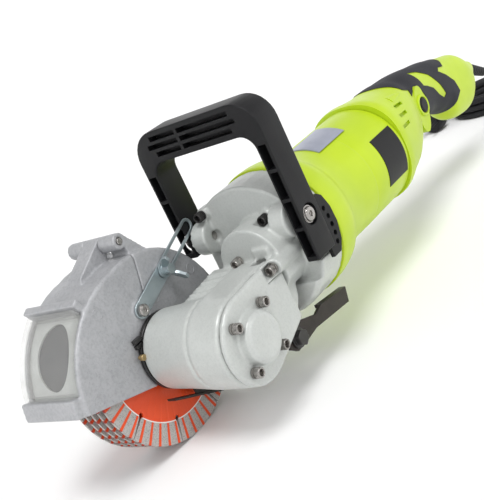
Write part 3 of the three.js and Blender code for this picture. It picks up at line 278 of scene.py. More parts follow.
LIME = (0.5, 0.655, 0.012)
FINISHES = {
    "lime": moulded("lime_nylon", LIME, (0.43, 0.59, 0.01), 0.4, 1600, 0.03, coat=0.15),
    "black": moulded("black_nylon", (0.006, 0.006, 0.007), (0.011, 0.011, 0.012), 0.45, 1500, 0.05,
                     shine=0.28),
    "grip": moulded("grip_rubber", (0.022, 0.023, 0.03), (0.015, 0.015, 0.02), 0.62, 2200, 0.06, shine=0.3),
    "cord": moulded("cord_rubber", (0.008, 0.008, 0.01), (0.013, 0.013, 0.015), 0.55, 1800, 0.04, shine=0.3),
    "painted": casting("silver_paint", (0.56, 0.58, 0.56), (0.45, 0.47, 0.455), 0.33, 0.15, 700, 0.15,
                       (0.4, 0.41, 0.4)),
    "cast": casting("bare_casting", (0.47, 0.475, 0.49), (0.32, 0.325, 0.34), 0.48, 0.35, 520, 0.3,
                    (0.18, 0.185, 0.2)),
    "zinc": brushed("zinc_plate", (0.5, 0.56, 0.58), (0.36, 0.43, 0.46), 0.3, streak=(1, 1, 6)),
    "steel": brushed("oiled_steel", (0.52, 0.5, 0.48), (0.12, 0.11, 0.1), 0.22),
    "black_oxide": brushed("black_oxide", (0.07, 0.068, 0.068), (0.03, 0.028, 0.027), 0.36, 0.75),
    "dark": brushed("stamped_steel", (0.03, 0.022, 0.018), (0.012, 0.009, 0.008), 0.45, 0.25, (1, 1, 4)),
    "brass": brushed("brass", (0.5, 0.38, 0.2), (0.32, 0.22, 0.1), 0.32),
    "copper": brushed("varnished_copper", (0.42, 0.16, 0.07), (0.25, 0.08, 0.03), 0.4),
    "silver_label": brushed("silver_label", (0.4, 0.42, 0.5), (0.3, 0.32, 0.4), 0.35, 0.3, (0.2, 4, 4), 120),
    "disc": disc_paint(),
    "clear": clear_plastic(),
}
SLOT_FINISH = {
    "lime_shell": "lime", "black_plastic": "black", "grip_rubber": "grip", "painted_case": "painted",
    "cast_guard": "cast", "zinc_plate": "zinc", "screw_steel": "steel", "dark_steel": "dark",
    "brass": "brass", "copper": "copper", "disc": "disc", "clear": "clear", "cord_rubber": "cord",
}
slot_of = {entry["node"]: entry["material_slot"] for entry in frame["record"]["subparts"]}
for name, node in nodes.items():
    node.data.materials.clear()
    node.data.materials.append(FINISHES[SLOT_FINISH[slot_of[name]]])


# ---------------------------------------------------------------- pieces
def shade(mesh, angle=32):
    mesh.polygons.foreach_set("use_smooth", [True] * len(mesh.polygons))
    mesh.set_sharp_from_angle(angle=math.radians(angle))


def object_of(name, shape):
    """A scene object from a shape, which is used up."""
    mesh = bpy.data.meshes.new(name)
    bmesh.ops.recalc_face_normals(shape, faces=shape.faces)
    shape.to_mesh(mesh)
    shape.free()
    made = bpy.data.objects.new(name, mesh)
    scene.collection.objects.link(made)
    return made


def settle(made, body, stands_for):
    """Puts a piece on its body, and in place of the solids it stands for."""
    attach(made, body)
    if stands_for:
        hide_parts(*stands_for)


def piece(name, shape, finish, body, stands_for=(), angle=32):
    """A finished piece on its body."""
    made = object_of(name, shape)
    made.data.materials.append(FINISHES[finish])
    shade(made.data, angle)
    settle(made, body, stands_for)
    return made


def rounded(made, width_mm, segments=3, angle=38):
    """Rounds the edges that turn by more than the angle."""
    edge = made.modifiers.new("edges", "BEVEL")
    edge.width = width_mm / 1000
    edge.segments = segments
    edge.limit_method = "ANGLE"
    edge.angle_limit = math.radians(angle)
    return made


def merged(node):
    """A copy of a frame solid as a shape, its triangles joined into whole faces."""
    shape = bmesh.new()
    shape.from_mesh(nodes[node].data)
    bmesh.ops.remove_doubles(shape, verts=shape.verts, dist=1e-5)
    bmesh.ops.dissolve_limit(shape, angle_limit=0.01, verts=shape.verts, edges=shape.edges)
    return shape


def refined(node, finish, width, segments=2, angle=38):
    """A frame solid again, with rounded edges and its own finish."""
    made = piece(node + "_made", merged(node), finish, nodes[node]["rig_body"], [node])
    return rounded(made, width, segments, angle)


def combine(made, operation, *tools):
    """Cuts the tools out of a piece, joins them on or keeps what they cover, for good."""
    for tool in tools:
        step = made.modifiers.new("combine", "BOOLEAN")
        step.object = tool
        step.operation = operation
        step.solver = "EXACT"
    graph = bpy.context.evaluated_depsgraph_get()
    solid = bpy.data.meshes.new_from_object(made.evaluated_get(graph))
    made.modifiers.clear()
    made.data = solid
    for tool in tools:
        bpy.data.objects.remove(tool)


def carve(made, *shapes):
    combine(made, "DIFFERENCE", *(object_of("tool", shape) for shape in shapes))


def absorb(shape, extra):
    """Adds another shape's faces to this one."""
    spare = bpy.data.meshes.new("spare")
    bmesh.ops.recalc_face_normals(extra, faces=extra.faces)
    extra.to_mesh(spare)
    extra.free()
    shape.from_mesh(spare)
    bpy.data.meshes.remove(spare)


def tilt(shape, angle, axis, centre=(0, 0, 0)):
    """Turns a whole shape round an axis through a centre."""
    bmesh.ops.rotate(shape, cent=centre, matrix=Matrix.Rotation(angle, 3, axis), verts=shape.verts)


def block(x0, x1, y0, y1, z0, z1):
    """A box between two corners, in millimetres from the hub."""
    shape = bmesh.new()
    bmesh.ops.create_cube(shape, size=1)
    size = Vector((x1 - x0, y1 - y0, z1 - z0)) / 1000
    bmesh.ops.scale(shape, vec=size, verts=shape.verts)
    bmesh.ops.translate(shape, vec=at((x0 + x1) / 2, (y0 + y1) / 2, (z0 + z1) / 2), verts=shape.verts)
    return shape


def turned(profile, axis, centre, steps=64, sweep=math.tau, start=0.0):
    """Spins [radius, along] pairs round an axis, "x" or "y", through the centre."""
    shape = bmesh.new()
    along = Vector((1, 0, 0)) if axis == "x" else Vector((0, 1, 0))
    side = Vector((0, -1, 0)) if axis == "x" else Vector((1, 0, 0))
    side = Matrix.Rotation(start, 3, along) @ side
    middle = at(*centre)
    line = [shape.verts.new(middle + side * r / 1000 + along * t / 1000) for r, t in profile]
    edges = [shape.edges.new(pair) for pair in zip(line, line[1:])]
    full = abs(sweep - math.tau) < 1e-6
    bmesh.ops.spin(shape, geom=line + edges, cent=middle, axis=along, dvec=(0, 0, 0), angle=sweep,
                   steps=steps, use_merge=full, use_duplicate=False)
    bmesh.ops.remove_doubles(shape, verts=shape.verts, dist=2e-6)
    return shape


def thicken(shape, step):
    """Extrudes every face of a flat shape by one step."""
    grown = bmesh.ops.extrude_face_region(shape, geom=shape.faces[:])
    new = [item for item in grown["geom"] if isinstance(item, bmesh.types.BMVert)]
    bmesh.ops.translate(shape, vec=step, verts=new)
    return shape


def flat_face(spots):
    """A shape of one flat face through the spots."""
    shape = bmesh.new()
    shape.faces.new([shape.verts.new(spot) for spot in spots])
    return shape


def prism(outline, y0, y1):
    """A flat outline of [x, z] points with a thickness along Y."""
    return thicken(flat_face([at(x, y0, z) for x, z in outline]), (0, (y1 - y0) / 1000, 0))


def side_prism(outline, x0, x1):
    """A flat outline of [y, z] points with a thickness along X."""
    return thicken(flat_face([at(x0, y, z) for y, z in outline]), ((x1 - x0) / 1000, 0, 0))


def close_ends(shape):
    """Caps a shape's open ends."""
    bmesh.ops.holes_fill(shape, edges=[edge for edge in shape.edges if edge.is_boundary])
    return shape


# ---------------------------------------------------------------- cord
CORD_RADIUS = 4.6
FLOOR = -DISC_RADIUS
EXIT_FALL = math.radians(24)


def along_exit(t):
    """A place on the line in which the cord leaves the grip, t millimetres out."""
    return (572 + t * math.cos(EXIT_FALL), MOTOR_Y, 24 - t * math.sin(EXIT_FALL))


def smooth_run(points, share=6):
    """Points on a smooth line through the given ones."""
    ends = [points[0], *points, points[-1]]
    run = []
    for i in range(len(points) - 1):
        a, b, c, d = (Vector(p) for p in ends[i:i + 4])
        for k in range(share):
            t = k / share
            run.append(0.5 * ((2 * b) + (c - a) * t + (2 * a - 5 * b + 4 * c - d) * t * t
                              + (3 * b - a - 3 * c + d) * t ** 3))
    return [*run, Vector(points[-1])]


COIL_X, COIL_RADIUS = 770.0, 52.0
TURN_GAP = 0.1
APPROACH = COIL_RADIUS + 3 * CORD_RADIUS + 5 * TURN_GAP
COIL_Y = MOTOR_Y + APPROACH
REST = FLOOR + CORD_RADIUS
lead = smooth_run([
    along_exit(0), along_exit(24), along_exit(48), along_exit(72), (668, MOTOR_Y, -38),
    (696, MOTOR_Y, -64), (726, MOTOR_Y, REST), (748, MOTOR_Y, REST), (COIL_X, MOTOR_Y, REST),
])
INNER, OUTER = COIL_RADIUS - CORD_RADIUS - TURN_GAP, COIL_RADIUS + CORD_RADIUS + TURN_GAP
LAYER = 2 * CORD_RADIUS
PLUG_Z = FLOOR + 16
# [turns from the start, radius, height above the floor layer]
WIND = [
    (0, APPROACH, 0), (0.3, OUTER, 0), (1.1, OUTER, 0), (1.35, INNER, 0), (2.0, INNER, 0),
    (2.2, INNER, LAYER), (3.0, INNER, LAYER), (3.25, OUTER, LAYER), (4.0, OUTER, LAYER),
    (4.2, OUTER, 2 * LAYER), (5.0, OUTER, 2 * LAYER), (5.25, INNER, 2 * LAYER), (6.0, INNER, 2 * LAYER),
    (6.25, OUTER, 2 * LAYER), (6.5, APPROACH, PLUG_Z - REST),
]
PER_TURN = 28
wound = []
for (t0, r0, h0), (t1, r1, h1) in zip(WIND, WIND[1:]):
    count = max(2, round((t1 - t0) * PER_TURN))
    for i in range(1, count + 1):
        share = i / count
        ease = share * share * (3 - 2 * share)
        angle = (t0 + (t1 - t0) * share) * math.tau - math.pi / 2
        radius, rise = r0 + (r1 - r0) * ease, h0 + (h1 - h0) * ease
        wound.append((COIL_X + radius * math.cos(angle), COIL_Y + radius * math.sin(angle), REST + rise))
plug_end = Vector((COIL_X - 22, COIL_Y + APPROACH, PLUG_Z))
route = [at(*p) for p in [*lead, *wound, plug_end]]
line = bpy.data.curves.new("power_cord", "CURVE")
line.dimensions = "3D"
line.bevel_depth = CORD_RADIUS / 1000
line.bevel_resolution = 5
line.use_fill_caps = True
spline = line.splines.new("POLY")
spline.points.add(len(route) - 1)
for point, spot in zip(spline.points, route):
    point.co = (*spot, 1)
line.materials.append(FINISHES["cord"])
cord = bpy.data.objects.new("power_cord", line)
scene.collection.objects.link(cord)
settle(cord, "machine", ["cord", "cord_coil"])

# Ribbed sleeve at the exit: rings that narrow towards the cord.
RIB_COUNT, RIB_STEP, RIB_DEPTH, RIB_TAPER = 9, 5.2, 1.3, 0.22
ribs = [(0, -8), (7.2, -8), (7.4, 2)]
for i in range(RIB_COUNT):
    size, start = 7.3 - i * RIB_TAPER, i * RIB_STEP
    ribs += [(size, start + 3), (size, start + 6.4)]
    ribs += [(size - RIB_DEPTH, start + 6.9), (size - RIB_DEPTH, start + 7.8)]
ribs += [(5.0, 50), (4.65, 50)]
shape = turned(ribs, "x", (0, 0, 0), 40)
tilt(shape, EXIT_FALL, "Y", HUB)
bmesh.ops.translate(shape, vec=Vector(along_exit(0)) / 1000, verts=shape.verts)
relief = piece("strain_sleeve", shape, "cord", "machine", ["strain_relief"])

# Plug on the far side of the coil, with its two pins side by side.
PLUG = (COIL_X - 20, COIL_Y + APPROACH, PLUG_Z)
PIN_SPREAD = 9.5
shape = turned([(4.62, 18), (5.4, 16), (5.8, 8), (5.4, 4), (6.2, -4), (6.8, -8), (6.2, -12), (7.4, -18),
                (7.0, -24), (9, -30), (14.5, -33), (15.8, -38), (15.8, -56), (14.2, -59.6), (0, -59.6)],
               "x", PLUG, 48)
for side in (-PIN_SPREAD, PIN_SPREAD):
    absorb(shape, turned([(0, -77.5), (1.6, -77.5), (2.2, -76), (2.2, -58), (0, -58)], "x",
                         (PLUG[0], PLUG[1] + side, PLUG[2]), 20))
plug = piece("mains_plug", shape, "cord", "machine", ["plug"])


# ---------------------------------------------------------------- cast pieces
def cast_piece(node, finish, grid_mm, passes, extras=()):
    """A casting: the node's solid and any added lumps, with the corners run into fillets."""
    shape = merged(node)
    for extra in extras:
        absorb(shape, extra)
    made = piece(node + "_casting", shape, finish, nodes[node]["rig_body"], [node])
    grain = made.modifiers.new("skin", "REMESH")
    grain.mode = "VOXEL"
    grain.voxel_size = grid_mm / 1000
    grain.use_smooth_shade = True
    soft = made.modifiers.new("fillets", "SMOOTH")
    soft.factor = 0.5
    soft.iterations = passes
    return made


NECK, FLARE_FRONT, FLARE_BACK = 28.2, -13.4, -63
flare = turned([(NECK, FLARE_FRONT), (32, FLARE_FRONT), (33, -14.6), (33.2, -20), (34, -36), (35.4, -52),
                (36.6, FLARE_BACK), (NECK, FLARE_BACK), (NECK, FLARE_FRONT)], "y", (0, 0, 0), 64)
web = prism([(0, 28), (18, 31.5), (40, 33.5), (62, 35), (62, -6), (38, -16), (0, -22)], -66, -33)
lumps = [flare, web, block(57.5, 61.5, -97.5, -83, 37, 45.5), block(59.4, 61.5, -97.5, -83, 33, 38)]
# Flow ridges over the web, and the wall beside the second front screw.
RIDGE_WIDTH, RIDGE_DEPTH, RIDGE_LEAN = 1.8, 5, math.radians(9)
for x, top in ((12, 33.2), (21, 34.6), (30, 35.4), (39, 36.0), (48, 36.6)):
    ridge = block(x, x + RIDGE_WIDTH, -62, -37, top - RIDGE_DEPTH, top)
    tilt(ridge, RIDGE_LEAN, "Z", at(x, -50, top))
    lumps.append(ridge)
wall = turned([(5.4, 36), (7.6, 36), (7.6, 51.5), (5.4, 51.5), (5.4, 36)], "x", (0, -103.5, 31.5), 24,
              sweep=math.pi, start=math.pi / 2)
lumps.append(close_ends(wall))
cast_piece("gear_housing", "painted", 1.3, 3, lumps)
cast_piece("gear_cover", "painted", 0.9, 4)
cast_piece("guard_rear_shell", "cast", 1.0, 3)
cast_piece("guard_front_shell", "cast", 1.0, 3)


# ---------------------------------------------------------------- discs
DISC_COUNT, DISC_STEP = 5, 8.4
GULLETS = 9
DISC_TURN = 0.2
CORE = 2.2
BORE = 11.4
SLOT_HALF, SLOT_END = 1.1, 61.5
KEYHOLE_AT, KEYHOLE = 58.0, 2.4


def disc(index, y):
    """One sector between two keyhole gullets, copied round and thickened."""
    half = math.pi / GULLETS
    shares = [-0.985 + 1.97 * i / 12 for i in range(13)]
    rim = [(DISC_RADIUS - 0.05) * Vector((math.cos(half * s), math.sin(half * s))) for s in shares]

    def edge(radius, offset, side):
        angle = side * (half - offset / radius)
        return radius * Vector((math.cos(angle), math.sin(angle)))

    around = [math.radians(degrees) for degrees in (25, 60, 90, 120, 150)]
    upper = [edge(KEYHOLE_AT + KEYHOLE * math.cos(a), KEYHOLE * math.sin(a), 1) for a in around]
    upper.append(edge(KEYHOLE_AT - KEYHOLE, 0, 1))
    lower = [Vector((p.x, -p.y)) for p in reversed(upper)]
    bore = [BORE * Vector((math.cos(a), math.sin(a))) for a in (half, half / 3, -half / 3, -half)]
    outline = [*rim, edge(SLOT_END, SLOT_HALF, 1), *upper, *bore, *lower, edge(SLOT_END, SLOT_HALF, -1)]
    shape = flat_face([at(p.x, y, p.y) for p in outline])
    hub = at(0, y, 0)
    tilt(shape, -DISC_TURN - half, "Y", hub)
    bmesh.ops.spin(shape, geom=shape.verts[:] + shape.edges[:] + shape.faces[:], cent=hub, axis=(0, 1, 0),
                   angle=math.tau * (GULLETS - 1) / GULLETS, steps=GULLETS - 1, use_duplicate=True)
    bmesh.ops.remove_doubles(shape, verts=shape.verts, dist=2e-5)
    thicken(shape, (0, CORE / 1000, 0))
    return piece(f"disc_{index}", shape, "disc", "spindle", [f"blade_{index}"])


for number in range(DISC_COUNT):
    rounded(disc(number + 1, number * DISC_STEP), 0.25, 2)


# ---------------------------------------------------------------- motor barrel
barrel = [(46, 122.4), (60.6, 122.4), (61.6, 122.8), (62, 124), (62, 128), (61.7, 136), (60.9, 143),
          (59.6, 149), (57.6, 153), (55.2, 157), (53.4, 163), (52.0, 170), (50.8, 178), (49.9, 186),
          (49.7, 192), (50.0, 200), (50.2, 214), (50.4, 216), (50.1, 217), (50.4, 218), (50.5, 240),
          (50.7, 266), (50.8, 282), (50.7, 285), (50.2, 286.6), (46, 286.6)]
piece("motor_barrel", turned(barrel, "x", (0, MOTOR_Y, MOTOR_Z), 128), "lime", "machine",
      ["motor_housing"])


# Blank rating plate and a plain reflective patch, both bent round the barrel.
def bent_plate(name, x0, x1, low, high, under, finish):
    """A thin plate between two angles from the near side up; under holds the barrel's radius at each end."""
    start, end = math.radians(low), math.radians(high)
    front, back = under
    lift, sink = 0.6, 0.3
    outline = [(front - sink, x0), (front + lift, x0 + sink), (back + lift, x1 - sink), (back - sink, x1)]
    shape = turned(outline, "x", (0, MOTOR_Y, MOTOR_Z), 24, sweep=start - end, start=-start)
    return piece(name, shape, finish, "machine")


bent_plate("rating_plate", 241, 281, -24.5, 30, (50.5, 50.8), "black")
bent_plate("patch", 187, 236, 58, 92, (50.4, 51.4), "silver_label")


# ---------------------------------------------------------------- rear handle
# [along the motor, top, bottom, half width]
HANDLE = [
    (287.3, 84.5, -19.5, 51.2), (296, 85, -19.5, 51.2), (312, 83, -15, 48.3), (332, 81, -11, 44.6),
    (346, 81, -6.5, 40.6), (358, 81, -3, 36.6), (372, 80, 2, 31), (393, 79, 9, 28), (415, 76.5, 14, 24.5),
    (437, 73, 18, 23), (459, 70, 11, 23), (473, 67, 5, 23), (485, 64.5, -8, 23), (511, 59, -13, 23),
    (531, 55, -12, 22.5), (546, 46, -3, 20), (558, 37, 8, 15), (572, 33, 15, 10.5),
]
SQUARENESS = 2.4  # 2 would make the handle's rings plain ovals


def sleeve(inset, share=4, sides=72):
    """The handle's skin: oval rings along the motor's axis, each grown from the one before."""
    shape = bmesh.new()
    ring = bmesh.ops.create_circle(shape, cap_ends=False, segments=sides, radius=1)["verts"]
    bmesh.ops.rotate(shape, cent=(0, 0, 0), matrix=Matrix.Rotation(math.pi / 2, 3, "Y"), verts=ring)
    for vert in ring:
        vert.co /= (abs(vert.co.y) ** SQUARENESS + abs(vert.co.z) ** SQUARENESS) ** (1 / SQUARENESS)
    edges = shape.edges[:]
    size, centre = Vector((1, 1, 1)), Vector((0, 0, 0))
    for step, (x, top, bottom, half) in enumerate(smooth_run(HANDLE, share)):
        if step:
            grown = bmesh.ops.extrude_edge_only(shape, edges=edges)["geom"]
            ring = [item for item in grown if isinstance(item, bmesh.types.BMVert)]
            edges = [item for item in grown if isinstance(item, bmesh.types.BMEdge)]
        new_size = Vector((1, (half - inset) / 1000, ((top - bottom) / 2 - inset) / 1000))
        new_centre = at(x, MOTOR_Y, (top + bottom) / 2)
        bmesh.ops.translate(shape, vec=-centre, verts=ring)
        bmesh.ops.scale(shape, vec=(1, new_size.y / size.y, new_size.z / size.z), verts=ring)
        bmesh.ops.translate(shape, vec=new_centre, verts=ring)
        size, centre = new_size, new_centre
    return close_ends(shape)


def ellipse(centre, wide, high, lean, count=40):
    """An oval of [x, z] points that leans as it rises."""
    points = []
    for i in range(count):
        t = math.tau * i / count
        u, v = wide * math.cos(t), high * math.sin(t)
        points.append((centre[0] + u + v * lean, centre[1] + v - u * lean))
    return points


BUTTON = (386, 0, 40.5)
BOSS, BOSS_LEAN = (383, 37.5), 0.22
VENT_HALF, VENT_THICK = 10, 1.7
TRIGGER_HALF = 8.4
handle = piece("handle_body", sleeve(0), "lime", "machine", ["handle_shell"])
combine(handle, "UNION", object_of("tool", prism(ellipse(BOSS, 12, 24, BOSS_LEAN), -93, -70)))
vents = []
for x, angle in ((321, 39), (315, 28), (308, 17)):
    slit = block(x - VENT_HALF, x + VENT_HALF, MOTOR_Y - 60, MOTOR_Y - 47,
                 MOTOR_Z - VENT_THICK, MOTOR_Z + VENT_THICK)
    tilt(slit, -math.radians(angle), "X", at(0, MOTOR_Y, MOTOR_Z))
    vents.append(slit)
carve(handle, block(365, 413, MOTOR_Y - TRIGGER_HALF, MOTOR_Y + TRIGGER_HALF, -20, 26),
      turned([(0, -94), (8.4, -94), (8.4, -71), (0, -71)], "y", BUTTON, 40), *vents)
shade(handle.data, 40)
ring = [(8.6, -92.6), (8.6, -94.2), (9.1, -94.7), (10.6, -94.7), (11.4, -94), (11.6, -92.6), (8.6, -92.6)]
piece("button_ring", turned(ring, "y", BUTTON, 48), "lime", "machine")

# Two low scoops on the collar's top, one behind the other.
for i, (x, lean, low) in enumerate(((310, 62, 53.0), (332, 50, 51.2)), 1):
    scoop = bmesh.new()
    bmesh.ops.create_cone(scoop, cap_ends=True, segments=24, radius1=0.0075, radius2=0.001, depth=0.026)
    tilt(scoop, math.pi / 2, "Y")
    bmesh.ops.scale(scoop, vec=(1, 1, 0.42), verts=scoop.verts)
    bmesh.ops.translate(scoop, vec=(0, 0, (low - 1) / 1000), verts=scoop.verts)
    tilt(scoop, math.radians(90 - lean), "X")
    bmesh.ops.translate(scoop, vec=at(x, MOTOR_Y, MOTOR_Z), verts=scoop.verts)
    piece(f"collar_scoop_{i}", scoop, "lime", "machine")

# Soft overmould with a wavy edge and a crescent window on each side.
SKIN = 0.7
GRIP_EDGE = [
    (334, 100), (336, 86), (350, 77), (359, 68), (373, 63), (371, 56), (383, 60), (398, 58), (406, 44),
    (409, 28), (411, 6), (413, -30), (448, -30), (462, -4), (484, 14), (492, 19), (487, 33), (474, 45),
    (461, 54), (467, 57), (480, 54), (488, 60), (486, 80), (490, 100),
]
CRESCENT = [(404, 74), (421, 69), (437, 59), (452, 42), (460, 28), (455, 25), (444, 33), (434, 44), (421, 51),
            (413, 54), (410, 63)]
grip = piece("grip_skin", sleeve(-SKIN), "grip", "machine", ["grip_cover"])
combine(grip, "INTERSECT", object_of("tool", prism(GRIP_EDGE, -130, 10)))
carve(grip, prism(CRESCENT, -120, MOTOR_Y - 5), prism(CRESCENT, MOTOR_Y + 5, 10),
      block(360, 414, MOTOR_Y - 10, MOTOR_Y + 10, -30, 28),
      prism(ellipse(BOSS, 12.6, 24.6, BOSS_LEAN), -100, -63), sleeve(1.2))
shade(grip.data, 40)


# ---------------------------------------------------------------- small frame solids, finished
refined("trigger", "black", 1.2, 3)
refined("lock_button", "black", 0.8, 3)
refined("guard_strap", "zinc", 0.3)
refined("wing_bolt", "zinc", 0.5)
refined("guard_window", "clear", 0.9, 3)
refined("guard_clamp_band", "black_oxide", 0.3)
nub = [(0, -3.6), (2.3, -3.6), (2.6, -3.2), (2.6, 0), (1.6, 0.3), (1.6, 2.2), (0, 2.2)]
piece("band_screw", turned(nub, "y", (-32.6, -13.2, 12), 24), "brass", "machine")
refined("lever", "dark", 0.5)
refined("lever_bolt", "black_oxide", 0.4)
refined("dust_skirt", "dark", 0.2)
refined("spindle_nut", "zinc", 0.5)
refined("guard_hinge_pin", "steel", 0.4)
refined("strap_pivot_screw", "steel", 0.4)


# ---------------------------------------------------------------- guard details
# Ejector marks on the guard's near side: low rings, which swing with the front shell if ahead of the spindle.
mark = [(4.1, -8.4), (4.1, -8.75), (4.3, -8.9), (4.6, -8.9), (4.8, -8.75), (4.8, -8.4), (4.1, -8.4)]
for i, (x, z) in enumerate(((62, 40), (-46.2, 61), (-83.1, 7.6), (12.4, 41)), 1):
    body = "front_guard" if x < 0 else "machine"
    piece(f"ejector_mark_{i}", turned(mark, "y", (x, 0, z), 36), "cast", body)

# Behind the window: a pale frame with an oval opening, and behind the opening a dark pane that is painted
# shade for the guard's dim inside.
GUARD_CENTRE = (-12, 0, -5)
WINDOW_MIDDLE = 142.5


def curved_sheet(inner, outer, half_angle, y0, y1, steps=24):
    """A sheet between two radii of the guard, on each side of the window's middle."""
    high = math.radians(WINDOW_MIDDLE + half_angle)
    outline = [(inner, y0), (inner, y1), (outer, y1), (outer, y0), (inner, y0)]
    return close_ends(turned(outline, "y", GUARD_CENTRE, steps, sweep=math.radians(2 * half_angle),
                             start=-high))


def oval_tool(half_y, half_arc):
    """An upright oval bar through the window, along the radius at its middle."""
    shape = bmesh.new()
    bmesh.ops.create_cone(shape, cap_ends=True, segments=48, radius1=0.001, radius2=0.001, depth=0.03)
    bmesh.ops.scale(shape, vec=(half_arc, half_y, 1), verts=shape.verts)
    bmesh.ops.translate(shape, vec=(0, 0, 0.082), verts=shape.verts)
    tilt(shape, math.radians(90 - WINDOW_MIDDLE), "Y")
    bmesh.ops.translate(shape, vec=at(GUARD_CENTRE[0], 24.5, GUARD_CENTRE[2]), verts=shape.verts)
    return shape


window_frame = piece("window_frame", curved_sheet(81.2, 82.7, 22.5, -4, 53.5), "painted", "front_guard")
carve(window_frame, oval_tool(19.5, 26))
shade(window_frame.data, 35)
# A dark sheet just inside the window: painted shade for the guard's dim inside.
piece("window_shade_pane", curved_sheet(80.2, 81.0, 20.5, -2, 51), "grip", "front_guard")


# ---------------------------------------------------------------- front D-handle
D_Y0, D_Y1 = MOTOR_Y - 66, MOTOR_Y + 66
D_X0, D_X1 = 75, 102


def bend(cy, cz, r, start, end, count=8):
    """An arc of [y, z] points round a centre."""
    steps = [math.radians(start + (end - start) * i / count) for i in range(count + 1)]
    return [(cy + r * math.cos(a), cz + r * math.sin(a)) for a in steps]


BAR_TOP, BAR_UNDER = 158.5, 131.5
NEAR_FOOT, FAR_FOOT = 20, 43
LEG = 12
OUTER_BEND, INNER_BEND = 24, 13
bow = [(D_Y0, NEAR_FOOT), *bend(D_Y0 + OUTER_BEND, BAR_TOP - OUTER_BEND, OUTER_BEND, 180, 90),
       *bend(D_Y1 - OUTER_BEND, BAR_TOP - OUTER_BEND, OUTER_BEND, 90, 0), (D_Y1, FAR_FOOT),
       (D_Y1 - LEG, FAR_FOOT), *bend(D_Y1 - LEG - INNER_BEND, BAR_UNDER - INNER_BEND, INNER_BEND, 0, 90),
       *bend(D_Y0 + LEG + INNER_BEND, BAR_UNDER - INNER_BEND, INNER_BEND, 90, 180), (D_Y0 + LEG, NEAR_FOOT)]
shape = side_prism(bow, D_X0, D_X1)
bmesh.ops.bevel(shape, geom=shape.edges[:], offset=0.0022, offset_type="OFFSET", segments=4, profile=0.5,
                affect="EDGES", clamp_overlap=True, material=-1)
d_handle = piece("d_handle_made", shape, "black", "machine", ["d_handle"])
ear = prism([(96, 12), (107, 12), (114, 20), (118, 34), (117, 48), (112, 60), (106, 64), (96, 64)],
            D_Y0 + 1, D_Y0 + 4.5)
combine(d_handle, "UNION", object_of("tool", ear))
GROOVE, GROOVE_HIGH = 9, 4.2
slots = []
# Three long grooves in the bar's front, each split by one cross rib.
for low, far, near in ((136.4, 43, -40), (143.2, 49, -46), (150, 44, -42)):
    for y0, y1 in ((MOTOR_Y + near, MOTOR_Y + 12.5), (MOTOR_Y + 15.5, MOTOR_Y + far)):
        slots.append(block(D_X0 - 1, D_X0 + GROOVE, y0, y1, low, low + GROOVE_HIGH))
# One row of long pockets down each leg.
POCKET, POCKET_STEP, POCKET_HALF, POCKET_TOP = 22.8, 25.5, 3.9, 121
for middle, first, count in ((D_Y0 + LEG / 2, 24, 4), (D_Y1 - LEG / 2, 48, 3)):
    for i in range(count):
        low = first + i * POCKET_STEP
        slots.append(block(D_X0 - 1, D_X0 + GROOVE, middle - POCKET_HALF, middle + POCKET_HALF,
                           low, min(low + POCKET, POCKET_TOP)))
# Holes round the ear's edge, and a round recess for each bolt.
for x, z in ((107.6, 50), (109.4, 42.5), (109.8, 35), (109.2, 27.5), (107.4, 20.5)):
    slots.append(turned([(0, -4), (2.3, -4), (2.3, 8), (0, 8)], "y", (x, D_Y0, z), 20))
for y0, y1 in ((D_Y0 - 4, D_Y0 + 3.5), (D_Y1 - 3.5, D_Y1 + 4)):
    slots.append(turned([(0, y0), (9, y0), (9, y1), (0, y1)], "y", (88, 0, 55), 40))
carve(d_handle, *slots)
shade(d_handle.data, 35)


# ---------------------------------------------------------------- socket screws
KNURLS = 36
KNURL_SHARE = 0.06  # of the head's radius
KNURL_INSIDE = 0.0042
SCREW = [(0, 3.6), (2.2, 3.6), (2.6, 0.9), (2.9, 0.25), (3.6, 0), (4.1, 0.4), (4.3, 0.9), (4.3, 4.8),
         (3.9, 5.1), (3.9, 5.5), (4.35, 5.5), (4.35, 7.4), (2.5, 7.4), (2.5, 14), (0, 14)]


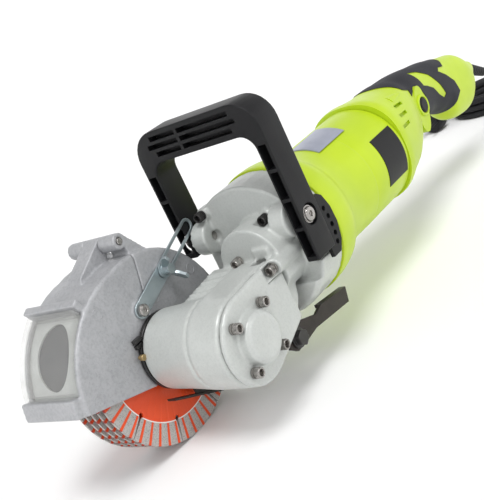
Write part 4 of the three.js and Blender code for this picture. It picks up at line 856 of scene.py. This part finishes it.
def socket_screw(name, node, axis, finish="steel"):
    """Knurled head with a round socket over a plain washer, on the axis of the frame's screw."""
    low, high = (Vector(c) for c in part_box(node))
    along = Vector((0, 1, 0)) if axis == "y" else Vector((1, 0, 0))
    middle = (low + high) / 2
    head = middle - (middle - low).project(along)
    shape = turned(SCREW, axis, tuple((head - HUB) * 1000), 2 * KNURLS)
    for vert in shape.verts:
        offset = vert.co - head
        depth = offset.dot(along) * 1000
        across = offset - offset.project(along)
        around = math.atan2(across.z, across.x if axis == "y" else across.y)
        knurl = round(around / math.tau * 2 * KNURLS) % 2
        if 0.8 < depth < 5 and across.length > KNURL_INSIDE and knurl:
            vert.co -= across * KNURL_SHARE
    return piece(name, shape, finish, "machine", [node], angle=25)


for i in range(1, 5):
    socket_screw(f"cover_bolt_{i}", f"cover_screw_{i}", "y")
for i in range(1, 3):
    socket_screw(f"front_bolt_{i}", f"front_screw_{i}", "x")
    socket_screw(f"flange_bolt_{i}", f"flange_screw_{i}", "x", "black_oxide")
    refined(f"d_handle_bolt_{i}", "steel", 0.4)


# ---------------------------------------------------------------- floor and light
FLOOR_HALF, FLAT_TO, CURL = 9, 3.0, 0.09
floor_shape = bmesh.new()
bmesh.ops.create_grid(floor_shape, x_segments=48, y_segments=48, size=FLOOR_HALF)
for vert in floor_shape.verts:
    vert.co.z = max(0.0, vert.co.xy.length - FLAT_TO) ** 2 * CURL
floor_mesh = bpy.data.meshes.new("floor")
floor_shape.to_mesh(floor_mesh)
floor_shape.free()
floor_mesh.polygons.foreach_set("use_smooth", [True] * len(floor_mesh.polygons))
floor = bpy.data.objects.new("floor", floor_mesh)
scene.collection.objects.link(floor)
paper = Finish("pale_floor", (0.93, 0.93, 0.93), 0.9)
paper.put("Base Color", paper.blend((0.94, 0.94, 0.94), (0.92, 0.92, 0.92), paper.noise(3)))
floor_mesh.materials.append(paper.material)

WORLD_LIGHT = 0.53
world = bpy.data.worlds.new("studio")
scene.world = world
world.use_nodes = True
sky = world.node_tree.nodes["Background"]
sky.inputs["Color"].default_value = (1, 1, 1, 1)
sky.inputs["Strength"].default_value = WORLD_LIGHT


def soft_sun(name, toward, strength, spread):
    """Even light from far away, with soft shadows."""
    data = bpy.data.lights.new(name, "SUN")
    data.energy = strength
    data.angle = math.radians(spread)
    made = bpy.data.objects.new(name, data)
    scene.collection.objects.link(made)
    made.rotation_mode = "QUATERNION"
    made.rotation_quaternion = Vector(toward).to_track_quat("-Z", "Y")


soft_sun("key", (0.25, 0.35, -1), 1.5, 25)
soft_sun("side", (0.9, 0.35, -0.55), 0.6, 30)
soft_sun("near", (-0.15, 1, -0.4), 0.75, 40)
scene.view_settings.view_transform = "Standard"
